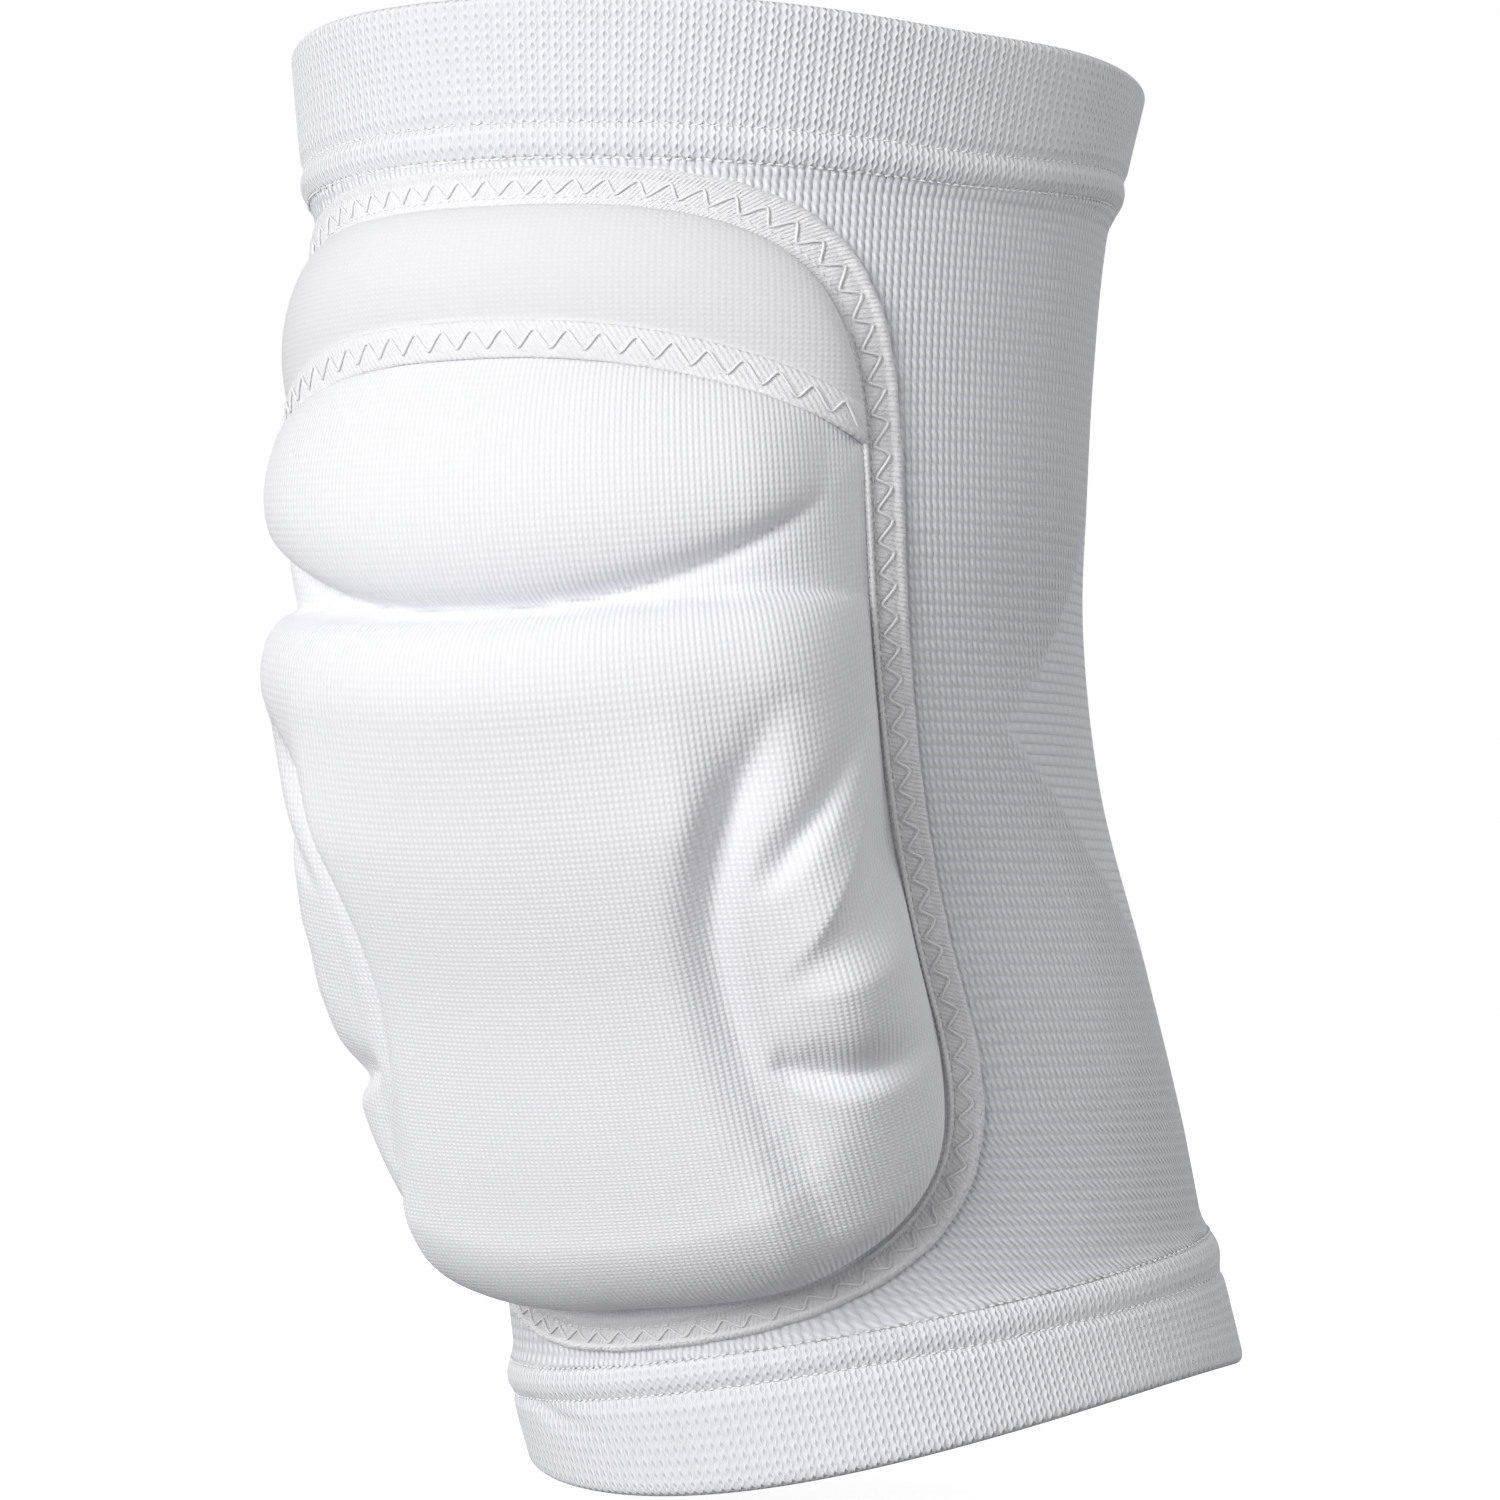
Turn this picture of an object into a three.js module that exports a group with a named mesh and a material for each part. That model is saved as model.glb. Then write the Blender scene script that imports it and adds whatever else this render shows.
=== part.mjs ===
// Volleyball knee pad, in the form that it has when worn: a knitted tube, open at both ends, with a doubled
// cuff and a raised welt at each end, and a moulded foam pad under taped edges at the front.
// Millimetres. +Z is up, the pad faces -Y, and the origin is the centre of the knee.

import * as THREE from 'three';

// Sizes of the knitted tube
const legHeight = 202.3;
const kneeWidth = 97;
const kneecapBulge = 8;
const kneecapReach = 42;
const kneecapDrop = 8;
const knitWall = 2;
const clearance = 0.4;

// Sizes of the cuffs and welts
const topCuffHeight = 18.4;
const bottomCuffHeight = 13.5;
const cuffWall = 3;
const welt = { topHeight: 4.6, bottomHeight: 5.4, wall: 2.9 };
const rimSaddle = 3;

// Sizes of the pad, measured on the tube's surface
const padHeight = 0.772 * legHeight;
const padWidth = 105.2;
const tapeWidth = 5;
const tapeThickness = 1.3;
const weltToTape = 1.1;
const crossTapeWidth = 4;
const panelThickness = 1.4;
const foamThickness = 17;
const coverThickness = 1;
const coverLedge = 5.5;

// Facets
const ringSteps = 48;
const tubeRows = 20;
const padColumns = 26;
const padRows = 30;
const panelRows = 4;
const arcSteps = 26;
const sideSteps = 7;

const degree = Math.PI / 180;

// The leg's sections, from the lower rim to the upper one. Height is a share of legHeight. Side, back and
// width are shares of kneeWidth. The leans are in degrees: how far the section tips back and to the side.
const legSections = [
  { height: -0.49, side: 0.06, back: 0.26, width: 1.098, leanBack: -6, leanSide: -5 },
  { height: -0.415, side: 0.029, back: 0.243, width: 1.097, leanBack: -8, leanSide: -7 },
  { height: -0.316, side: 0.012, back: 0.209, width: 1.08, leanBack: -12.5, leanSide: -4.5 },
  { height: -0.198, side: 0.005, back: 0.14, width: 1.045, leanBack: -17, leanSide: -1.5 },
  { height: -0.059, side: 0.001, back: 0.046, width: 1, leanBack: -19.5, leanSide: 0 },
  { height: 0.059, side: 0, back: -0.052, width: 1.049, leanBack: -18.5, leanSide: 0 },
  { height: 0.168, side: 0, back: -0.124, width: 1.124, leanBack: -9, leanSide: 0 },
  { height: 0.287, side: -0.016, back: -0.133, width: 1.179, leanBack: 1, leanSide: 0 },
  { height: 0.405, side: -0.027, back: -0.111, width: 1.223, leanBack: 4, leanSide: 1 },
  { height: 0.507, side: -0.024, back: -0.097, width: 1.29, leanBack: 3.5, leanSide: 1.2 },
];

// Heights where one piece ends and the next begins
const topRim = legSections.at(-1).height * legHeight;
const bottomRim = legSections[0].height * legHeight;
const topWeltTop = topRim - topCuffHeight;
const topWeltBottom = topWeltTop - welt.topHeight;
const bottomWeltBottom = bottomRim + bottomCuffHeight;
const bottomWeltTop = bottomWeltBottom + welt.bottomHeight;

// The pad's outline is a superellipse above and another one below its straight sides.
const padTop = topWeltBottom - weltToTape;
const padBottom = padTop - padHeight;
const outline = {
  halfAngle: padWidth / kneeWidth,
  upperSide: padTop - 0.344 * padHeight,
  lowerSide: padBottom + 0.336 * padHeight,
  upperPower: 4,
  lowerPower: 2.6,
};

// A column of the section table as a smooth curve through its rows
function smoothColumn(name) {
  const at = legSections.map((row) => row.height * legHeight);
  const value = legSections.map((row) => row[name]);
  const last = at.length - 1;
  const slope = (i) => (value[i + 1] - value[i]) / (at[i + 1] - at[i]);
  const tangent = at.map((here, i) => {
    if (i === 0) return slope(0);
    if (i === last) return slope(last - 1);
    const before = here - at[i - 1];
    const after = at[i + 1] - here;
    return (after * slope(i - 1) + before * slope(i)) / (before + after);
  });
  return (height) => {
    let i = 0;
    while (i < last - 1 && height > at[i + 1]) i += 1;
    const gap = at[i + 1] - at[i];
    const t = (height - at[i]) / gap;
    if (t < 0) return value[0] + tangent[0] * (height - at[0]);
    if (t > 1) return value[last] + tangent[last] * (height - at[last]);
    return (1 + 2 * t) * (1 - t) ** 2 * value[i] + t * (1 - t) ** 2 * gap * tangent[i]
      + t * t * (3 - 2 * t) * value[i + 1] + t * t * (t - 1) * gap * tangent[i + 1];
  };
}

const column = {
  side: smoothColumn('side'),
  back: smoothColumn('back'),
  width: smoothColumn('width'),
  leanBack: smoothColumn('leanBack'),
  leanSide: smoothColumn('leanSide'),
};

// A point at an angle round the leg (0 is the front, positive toward +X) and a height along it, lifted off
// the knitted surface. Saddle raises a rim at the front and back and lowers it at the sides.
function legPoint(angle, height, lift, saddle = 0) {
  const halfWidth = column.width(height) * kneeWidth / 2;
  const rise = Math.exp(-(((height + kneecapDrop) / kneecapReach) ** 2));
  const halfDepth = halfWidth + (Math.cos(angle) > 0 ? kneecapBulge * rise : 0);
  const up = new THREE.Vector3(
    Math.tan(column.leanSide(height) * degree), Math.tan(column.leanBack(height) * degree), 1).normalize();
  const side = new THREE.Vector3(1, 0, 0);
  side.addScaledVector(up, -side.dot(up)).normalize();
  const front = side.clone().cross(up);
  const normal = new THREE.Vector2(Math.sin(angle) / halfWidth, Math.cos(angle) / halfDepth).normalize();
  const point = new THREE.Vector3(column.side(height) * kneeWidth, column.back(height) * kneeWidth, height);
  point.addScaledVector(side, halfWidth * Math.sin(angle) + lift * normal.x);
  point.addScaledVector(front, halfDepth * Math.cos(angle) + lift * normal.y);
  return point.addScaledVector(up, saddle * Math.cos(2 * angle));
}

// A closed body from a grid of points that wraps both ways: rings[i][j] joins to the next i and the next j.
function wrappedBody(rings) {
  const rows = rings.length;
  const columns = rings[0].length;
  const index = [];
  for (let i = 0; i < rows; i += 1) {
    for (let j = 0; j < columns; j += 1) {
      const a = i * columns + j;
      const b = i * columns + (j + 1) % columns;
      const c = ((i + 1) % rows) * columns + (j + 1) % columns;
      const d = ((i + 1) % rows) * columns + j;
      index.push(a, b, c, a, c, d);
    }
  }
  return bodyFrom(rings.flat(), index);
}

function bodyFrom(points, index) {
  const geometry = new THREE.BufferGeometry().setFromPoints(points);
  geometry.setIndex(index);
  geometry.computeVertexNormals();
  return geometry;
}

// A band all round the leg. Its profile lists heights and lifts, going up inside the wall and down outside.
function legBand(profile) {
  const rings = [];
  for (let i = 0; i < ringSteps; i += 1) {
    const angle = 2 * Math.PI * i / ringSteps;
    rings.push(profile.map(({ height, lift, saddle }) => legPoint(angle, height, lift, saddle)));
  }
  return wrappedBody(rings);
}

// A sheet over the front of the leg, columns across and rows up, with an outer and an inner surface
function frontSheet(columns, rows, pointAt) {
  const points = [];
  for (const outside of [true, false]) {
    for (let i = 0; i <= columns; i += 1) {
      for (let j = 0; j <= rows; j += 1) {
        points.push(pointAt(i / columns, j / rows, outside));
      }
    }
  }
  const inner = (columns + 1) * (rows + 1);
  const at = (i, j) => i * (rows + 1) + j;
  const index = [];
  const face = (a, b, c, d) => index.push(a, b, c, a, c, d);
  for (let i = 0; i < columns; i += 1) {
    for (let j = 0; j < rows; j += 1) {
      face(at(i, j), at(i + 1, j), at(i + 1, j + 1), at(i, j + 1));
      face(inner + at(i, j), inner + at(i, j + 1), inner + at(i + 1, j + 1), inner + at(i + 1, j));
    }
    face(at(i, 0), inner + at(i, 0), inner + at(i + 1, 0), at(i + 1, 0));
    face(at(i + 1, rows), inner + at(i + 1, rows), inner + at(i, rows), at(i, rows));
  }
  for (let j = 0; j < rows; j += 1) {
    face(at(0, j + 1), inner + at(0, j + 1), inner + at(0, j), at(0, j));
    face(at(columns, j), inner + at(columns, j), inner + at(columns, j + 1), at(columns, j + 1));
  }
  return bodyFrom(points, index);
}

// The outline's height over a share of its half angle, inset by a width all round
function outlineTop(share, inset) {
  const { upperSide, upperPower } = outline;
  return upperSide + (padTop - inset - upperSide) * (1 - Math.abs(share) ** upperPower) ** (1 / upperPower);
}

function outlineBottom(share, inset) {
  const { lowerSide, lowerPower } = outline;
  const drop = lowerSide - padBottom - inset;
  return lowerSide - drop * (1 - Math.abs(share) ** lowerPower) ** (1 / lowerPower);
}

const insetAngle = (inset) => outline.halfAngle - 2 * inset / kneeWidth;

// The tape between the panel and the padding: its lower edge arches over the padding.
const coverInset = tapeWidth + clearance;
const coverAngle = insetAngle(coverInset);
const crossTapeMiddle = padBottom + 0.847 * padHeight;
const crossTapeArch = 0.064 * padHeight;
const crossTapeBottom = (share) => crossTapeMiddle - crossTapeArch * Math.abs(share) ** 2.5;
const panelReach = 0.975;
const foamReach = 0.985;
const crossTapeTop = (share) => crossTapeBottom(share) + crossTapeWidth;

// Where the crescent at the top of the padding ends, and where the main body under it begins
const creaseMiddle = padBottom + 0.695 * padHeight;
const crescentBottom = (share) => creaseMiddle + 0.083 * padHeight * Math.abs(share) ** 2.4;
const bodyTop = (share) => creaseMiddle - 0.02 * padHeight * Math.abs(share) ** 6;

// The foam under the cover: below, its edge stands a ledge's width inside the cover's edge.
const foamInset = coverInset + coverLedge;
const foamLowerPower = 2.3;

// Moulded grooves on the right half, mirrored on the left. Across is a share of the cover's half angle, up
// a share of padHeight from the pad's lower edge, depth a share of foamThickness and width of padHeight.
const grooves = [
  [
    { across: 0.67, up: 0.655, depth: 0.1, width: 0.022 },
    { across: 0.57, up: 0.598, depth: 0.3, width: 0.022 },
    { across: 0.5, up: 0.548, depth: 0.38, width: 0.022 },
    { across: 0.465, up: 0.493, depth: 0.4, width: 0.022 },
    { across: 0.45, up: 0.443, depth: 0.42, width: 0.022 },
    { across: 0.455, up: 0.378, depth: 0.42, width: 0.022 },
    { across: 0.47, up: 0.32, depth: 0.36, width: 0.024 },
    { across: 0.5, up: 0.24, depth: 0.24, width: 0.026 },
    { across: 0.54, up: 0.165, depth: 0.08, width: 0.028 },
  ],
  [
    { across: 0.56, up: 0.5, depth: 0.2, width: 0.016 },
    { across: 0.7, up: 0.536, depth: 0.32, width: 0.018 },
    { across: 0.9, up: 0.58, depth: 0.18, width: 0.02 },
  ],
  [
    { across: 0.63, up: 0.408, depth: 0.3, width: 0.03 },
    { across: 0.74, up: 0.43, depth: 0.5, width: 0.036 },
    { across: 0.9, up: 0.465, depth: 0.5, width: 0.05 },
  ],
  [
    { across: 0.5, up: 0.33, depth: 0.25, width: 0.018 },
    { across: 0.66, up: 0.308, depth: 0.34, width: 0.02 },
    { across: 0.8, up: 0.3, depth: 0.4, width: 0.022 },
    { across: 1, up: 0.298, depth: 0.5, width: 0.028 },
  ],
];

// How far a groove sinks the foam at a place given in millimetres across and up
function grooveDepth(path, across, up) {
  let deepest = 0;
  for (let i = 0; i + 1 < path.length; i += 1) {
    const [a, b] = [path[i], path[i + 1]].map((row) => ({
      x: row.across * coverAngle * kneeWidth / 2,
      y: row.up * padHeight,
      depth: row.depth * foamThickness,
      width: row.width * padHeight,
    }));
    const length = (b.x - a.x) ** 2 + (b.y - a.y) ** 2;
    const along = ((across - a.x) * (b.x - a.x) + (up - a.y) * (b.y - a.y)) / length;
    const t = THREE.MathUtils.clamp(along, 0, 1);
    const away = Math.hypot(across - a.x - t * (b.x - a.x), up - a.y - t * (b.y - a.y));
    const width = THREE.MathUtils.lerp(a.width, b.width, t);
    const depth = THREE.MathUtils.lerp(a.depth, b.depth, t);
    deepest = Math.max(deepest, depth * Math.exp(-((away / width) ** 2)));
  }
  return deepest;
}

// A rounded shoulder: 0 at the edge, 1 from the reach inward
function shoulder(inward, reach) {
  const x = THREE.MathUtils.clamp(inward / reach, 0, 1);
  return Math.sqrt(1 - (1 - x) ** 2);
}

// Shares of foamThickness: the floor of the valley between the crescent and the main body, what the crescent
// adds to it, how far the panel swells, and what the wings at both sides add to the main body, most of it at
// a share of padHeight up
const valleyFloor = { crease: 0.4, top: 0.28, sides: 0.2 };
const crescentSwell = 0.34;
const panelSwell = 0.3;
const wingSwell = { middle: 0.46, below: 0.04, up: 0.43, reach: 0.11 };

// How far the padding stands off the knit
function padLift(angle, height) {
  const share = Math.min(Math.abs(angle) / coverAngle, 1);
  const halfArc = coverAngle * kneeWidth / 2;
  const foamDrop = outline.lowerSide - padBottom - foamInset;
  const below = Math.max(outline.lowerSide - height, 0) / foamDrop;
  const reach = (share ** foamLowerPower + below ** foamLowerPower) ** (1 / foamLowerPower);
  const inward = Math.max(1 - reach, 0) * halfArc;
  const body = shoulder(bodyTop(share) - height, foamThickness * 0.5);
  const low = crescentBottom(share);
  const high = crossTapeBottom(share);
  const place = THREE.MathUtils.clamp((height - low) / (high - low), 0, 1);
  const crescent = Math.sin(Math.PI * place ** 0.75) ** 0.7 * (1 - share ** 3);
  const valley = THREE.MathUtils.lerp(valleyFloor.crease, valleyFloor.top, place);
  const floor = valley + valleyFloor.sides * share ** 2;
  const wingPlace = (height - padBottom - wingSwell.up * padHeight) / (wingSwell.reach * padHeight);
  const wingRise = wingSwell.middle * Math.exp(-(wingPlace ** 2)) + wingSwell.below;
  const wing = wingRise * THREE.MathUtils.smoothstep(share, 0.4, 0.75);
  let lift = foamThickness * (floor + (1 + wing - floor) * body + crescentSwell * crescent);
  for (const path of grooves) {
    lift -= grooveDepth(path, share * halfArc, height - padBottom);
  }
  return coverThickness + clearance + lift * shoulder(inward, foamThickness);
}

// Pieces

const topCuffProfile = [
  { height: topWeltTop + clearance, lift: -cuffWall / 2 },
  { height: topRim - cuffWall, lift: -cuffWall / 2 },
  { height: topRim - cuffWall * 0.35, lift: -cuffWall * 0.35 },
  { height: topRim, lift: 0 },
  { height: topRim - cuffWall * 0.35, lift: cuffWall * 0.35 },
  { height: topRim - cuffWall, lift: cuffWall / 2 },
  { height: (topRim + topWeltTop) / 2, lift: cuffWall / 2 },
  { height: topWeltTop + clearance, lift: cuffWall / 2 },
];

const bottomCuffProfile = [
  { height: bottomRim, lift: 0, saddle: -rimSaddle },
  { height: bottomRim + cuffWall * 0.35, lift: -cuffWall * 0.35, saddle: -rimSaddle },
  { height: bottomRim + cuffWall, lift: -cuffWall / 2, saddle: -rimSaddle * 0.8 },
  { height: bottomWeltBottom - clearance, lift: -cuffWall / 2, saddle: 0 },
  { height: bottomWeltBottom - clearance, lift: cuffWall / 2, saddle: 0 },
  { height: (bottomRim + bottomWeltBottom) / 2, lift: cuffWall / 2, saddle: -rimSaddle * 0.5 },
  { height: bottomRim + cuffWall, lift: cuffWall / 2, saddle: -rimSaddle * 0.8 },
  { height: bottomRim + cuffWall * 0.35, lift: cuffWall * 0.35, saddle: -rimSaddle },
];

function weltProfile(bottom, top) {
  const middle = (bottom + top) / 2;
  const inside = -cuffWall / 2;
  return [
    { height: bottom, lift: inside },
    { height: top, lift: inside },
    { height: top, lift: inside + welt.wall * 0.75 },
    { height: (middle + top) / 2, lift: inside + welt.wall * 0.95 },
    { height: middle, lift: inside + welt.wall },
    { height: (middle + bottom) / 2, lift: inside + welt.wall * 0.95 },
    { height: bottom, lift: inside + welt.wall * 0.75 },
  ];
}

function tubeProfile() {
  const low = bottomWeltTop + clearance;
  const high = topWeltBottom - clearance;
  const heights = [];
  for (let i = 0; i <= tubeRows; i += 1) heights.push(THREE.MathUtils.lerp(low, high, i / tubeRows));
  const inside = heights.map((height) => ({ height, lift: -knitWall }));
  const outside = heights.map((height) => ({ height, lift: 0 })).reverse();
  return [...inside, ...outside];
}

// Columns crowd toward the sides and rows toward the ends, where the surfaces turn fastest.
const acrossShare = (u) => Math.sin((u - 0.5) * Math.PI);
const crowded = (v) => (1 - Math.cos(v * Math.PI)) / 2;

function foamPad() {
  return frontSheet(padColumns, padRows, (u, v, outside) => {
    const share = acrossShare(u) * foamReach;
    const low = outlineBottom(share, coverInset);
    const high = Math.min(crossTapeBottom(share) - clearance, outlineTop(share, coverInset));
    const height = THREE.MathUtils.lerp(low, high, crowded(v));
    const angle = share * coverAngle;
    return legPoint(angle, height, outside ? padLift(angle, height) : clearance);
  });
}

function panelLift(share, height) {
  const low = crossTapeTop(share);
  const high = outlineTop(share, coverInset);
  const drop = THREE.MathUtils.clamp((high - height) / (high - low), 0, 1);
  const swell = Math.sin(0.72 * Math.PI * drop) ** 0.7 * (1 - share ** 14);
  return clearance + panelThickness + foamThickness * panelSwell * swell;
}

function upperPanel() {
  return frontSheet(padColumns, panelRows, (u, v, outside) => {
    const share = acrossShare(u) * panelReach;
    const low = crossTapeTop(share) + clearance;
    const high = outlineTop(share, coverInset);
    const height = THREE.MathUtils.lerp(low, high, v);
    return legPoint(share * coverAngle, height, outside ? panelLift(share, height) : clearance);
  });
}

function crossTape() {
  return frontSheet(padColumns, 2, (u, v, outside) => {
    const share = acrossShare(u) * panelReach;
    const height = crossTapeBottom(share) + crossTapeWidth * v;
    const lift = panelLift(share, crossTapeTop(share)) + tapeThickness * 0.5;
    return legPoint(share * coverAngle, height, outside ? lift : clearance);
  });
}

// The places round the outline: over the top, down the right side, back below and up the left side
function outlineRoute(inset) {
  const { upperSide, lowerSide, upperPower, lowerPower } = outline;
  const route = [];
  const arc = (from, rise, power) => {
    for (let i = 0; i < arcSteps; i += 1) {
      const turn = Math.PI * (i / arcSteps - 0.5);
      const reach = (Math.abs(Math.sin(turn)) ** power + Math.cos(turn) ** power) ** (-1 / power);
      const share = Math.sign(rise) * reach * Math.sin(turn);
      route.push({ share, height: from + rise * reach * Math.cos(turn) });
    }
  };
  const side = (share, from, to) => {
    for (let i = 0; i < sideSteps; i += 1) {
      route.push({ share, height: THREE.MathUtils.lerp(from, to, i / sideSteps) });
    }
  };
  arc(upperSide, padTop - inset - upperSide, upperPower);
  side(1, upperSide, lowerSide);
  arc(lowerSide, padBottom + inset - lowerSide, lowerPower);
  side(-1, lowerSide, upperSide);
  return route;
}

// The tape's section is a flat strip with a soft outer edge.
function outerTape() {
  const outer = outlineRoute(0);
  const middle = outlineRoute(tapeWidth / 2);
  const inner = outlineRoute(tapeWidth);
  const place = (spot, inset, lift) => legPoint(spot.share * insetAngle(inset), spot.height, lift);
  return wrappedBody(outer.map((spot, i) => [
    place(spot, 0, clearance),
    place(spot, 0, clearance + tapeThickness * 0.8),
    place(middle[i], tapeWidth / 2, clearance + tapeThickness),
    place(inner[i], tapeWidth, clearance + tapeThickness),
    place(inner[i], tapeWidth, clearance),
  ]));
}

// Materials

function cloth(name, color, roughness) {
  return new THREE.MeshStandardMaterial({ name, color, roughness, metalness: 0 });
}

const knit = cloth('white_knit', 0xe6e6ea, 0.9);
const cover = cloth('pad_cover', 0xf0f0f3, 0.85);
const panel = cloth('smooth_panel', 0xf1f0ee, 0.7);
const tape = cloth('brushed_tape', 0xefeff2, 0.85);

const kneePad = new THREE.Group();

function add(name, geometry, material) {
  const mesh = new THREE.Mesh(geometry, material);
  mesh.name = name;
  kneePad.add(mesh);
}

add('sleeve', legBand(tubeProfile()), knit);
add('top_cuff', legBand(topCuffProfile), knit);
add('top_hem_roll', legBand(weltProfile(topWeltBottom, topWeltTop)), knit);
add('bottom_hem_roll', legBand(weltProfile(bottomWeltBottom, bottomWeltTop)), knit);
add('bottom_cuff', legBand(bottomCuffProfile), knit);
add('foam_pad', foamPad(), cover);
add('upper_panel', upperPanel(), panel);
add('outer_binding', outerTape(), tape);
add('cross_binding', crossTape(), tape);

export default kneePad;
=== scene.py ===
# Volleyball knee pad as worn: rib knit sleeve with doubled cuffs and rolled hems, and a moulded foam pad
# under a dotted cover, with brushed tapes sewn round it. Sizes are in millimetres until a mesh is made.

import math

import bpy
import numpy as np
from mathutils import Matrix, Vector


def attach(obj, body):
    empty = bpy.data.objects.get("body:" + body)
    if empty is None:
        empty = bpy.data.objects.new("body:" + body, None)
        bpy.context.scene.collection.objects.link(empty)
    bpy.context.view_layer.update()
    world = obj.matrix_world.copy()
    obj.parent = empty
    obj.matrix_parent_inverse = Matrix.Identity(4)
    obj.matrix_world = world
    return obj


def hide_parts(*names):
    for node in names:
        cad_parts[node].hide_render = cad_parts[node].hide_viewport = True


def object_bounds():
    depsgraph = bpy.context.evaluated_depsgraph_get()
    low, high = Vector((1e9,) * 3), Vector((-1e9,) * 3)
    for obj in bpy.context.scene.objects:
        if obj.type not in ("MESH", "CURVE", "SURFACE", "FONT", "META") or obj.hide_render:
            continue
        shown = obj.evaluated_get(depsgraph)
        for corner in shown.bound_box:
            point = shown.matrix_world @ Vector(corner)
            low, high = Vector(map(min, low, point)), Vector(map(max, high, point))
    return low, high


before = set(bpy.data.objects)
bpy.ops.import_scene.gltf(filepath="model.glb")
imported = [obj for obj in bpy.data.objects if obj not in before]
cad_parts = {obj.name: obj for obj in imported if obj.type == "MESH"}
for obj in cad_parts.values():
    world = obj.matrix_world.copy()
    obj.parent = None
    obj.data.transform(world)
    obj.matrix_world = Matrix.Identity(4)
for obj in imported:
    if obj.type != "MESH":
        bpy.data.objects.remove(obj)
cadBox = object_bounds()
millimetre = 0.001
scene = bpy.context.scene
print("frame loaded:", len(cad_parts), "solids")

# The worn leg's surface

leg = {
    "height": 202.3,
    "width": 97.0,
    "kneecapBulge": 8.0,
    "kneecapReach": 42.0,
    "kneecapDrop": 8.0,
}
legSections = np.array([
    # height, side, back and width as shares, then the leans back and to the side in degrees
    (-0.49, 0.06, 0.26, 1.098, -6, -5),
    (-0.415, 0.029, 0.243, 1.097, -8, -7),
    (-0.316, 0.012, 0.209, 1.08, -12.5, -4.5),
    (-0.198, 0.005, 0.14, 1.045, -17, -1.5),
    (-0.059, 0.001, 0.046, 1, -19.5, 0),
    (0.059, 0, -0.052, 1.049, -18.5, 0),
    (0.168, 0, -0.124, 1.124, -9, 0),
    (0.287, -0.016, -0.133, 1.179, 1, 0),
    (0.405, -0.027, -0.111, 1.223, 4, 1),
    (0.507, -0.024, -0.097, 1.29, 3.5, 1.2),
])


def smoothCurve(at, value):
    gap = np.diff(at)
    slope = np.diff(value) / gap
    tangent = np.empty_like(value)
    tangent[0] = slope[0]
    tangent[-1] = slope[-1]
    tangent[1:-1] = (gap[1:] * slope[:-1] + gap[:-1] * slope[1:]) / (gap[1:] + gap[:-1])

    def curve(x):
        i = np.clip(np.searchsorted(at, x) - 1, 0, len(at) - 2)
        t = (x - at[i]) / gap[i]
        within = (1 + 2 * t) * (1 - t) ** 2 * value[i] + t * (1 - t) ** 2 * gap[i] * tangent[i]
        within = within + t * t * (3 - 2 * t) * value[i + 1] + t * t * (t - 1) * gap[i] * tangent[i + 1]
        before = value[0] + tangent[0] * (x - at[0])
        after = value[-1] + tangent[-1] * (x - at[-1])
        return np.where(x < at[0], before, np.where(x > at[-1], after, within))

    return curve


sectionHeights = legSections[:, 0] * leg["height"]
sideOf, backOf, widthOf, leanBackOf, leanSideOf = [
    smoothCurve(sectionHeights, legSections[:, column].copy()) for column in range(1, 6)
]


def smoothStep(x, low, high):
    t = np.clip((x - low) / (high - low), 0, 1)
    return t * t * (3 - 2 * t)


def unit(vectors):
    return vectors / np.linalg.norm(vectors, axis=-1, keepdims=True)


def legPoint(angle, height, lift=0.0, saddle=0.0):
    angle, height, lift, saddle = np.broadcast_arrays(angle, height, lift, saddle)
    halfWidth = widthOf(height) * leg["width"] / 2
    rise = np.exp(-(((height + leg["kneecapDrop"]) / leg["kneecapReach"]) ** 2))
    halfDepth = halfWidth + np.where(np.cos(angle) > 0, leg["kneecapBulge"] * rise, 0)
    leanSide = np.tan(np.radians(leanSideOf(height)))
    leanBack = np.tan(np.radians(leanBackOf(height)))
    up = unit(np.stack([leanSide, leanBack, np.ones_like(leanSide)], axis=-1))
    side = np.zeros_like(up)
    side[..., 0] = 1
    side = unit(side - up[..., :1] * up)
    front = np.cross(side, up)
    normal = np.stack([np.sin(angle) / halfWidth, np.cos(angle) / halfDepth], axis=-1)
    normal = unit(normal)
    across = halfWidth * np.sin(angle) + lift * normal[..., 0]
    forward = halfDepth * np.cos(angle) + lift * normal[..., 1]
    middle = np.stack([sideOf(height) * leg["width"], backOf(height) * leg["width"], height], axis=-1)
    return (middle + across[..., None] * side + forward[..., None] * front
            + (saddle * np.cos(2 * angle))[..., None] * up)


edge = {
    "topCuff": 18.4,
    "bottomCuff": 13.5,
    "topWelt": 4.6,
    "bottomWelt": 5.4,
    "cuffWall": 3.0,
    "rimSaddle": 3.0,
    "clearance": 0.4,
    "touch": 0.05,
}
topRim = sectionHeights[-1]
bottomRim = sectionHeights[0]
topWeltTop = topRim - edge["topCuff"]
topWeltBottom = topWeltTop - edge["topWelt"]
bottomWeltBottom = bottomRim + edge["bottomCuff"]
bottomWeltTop = bottomWeltBottom + edge["bottomWelt"]

# how the top seam and rim climb from the sides to the back
climb = {
    "from": 62.0,
    "to": 122.0,
    "seam": 5.0,
    "rim": 0.3,
    "sideDip": 1.0,
    "sideAt": 66.0,
    "sideReach": 20.0,
    "fade": 45.0,
}


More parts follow.
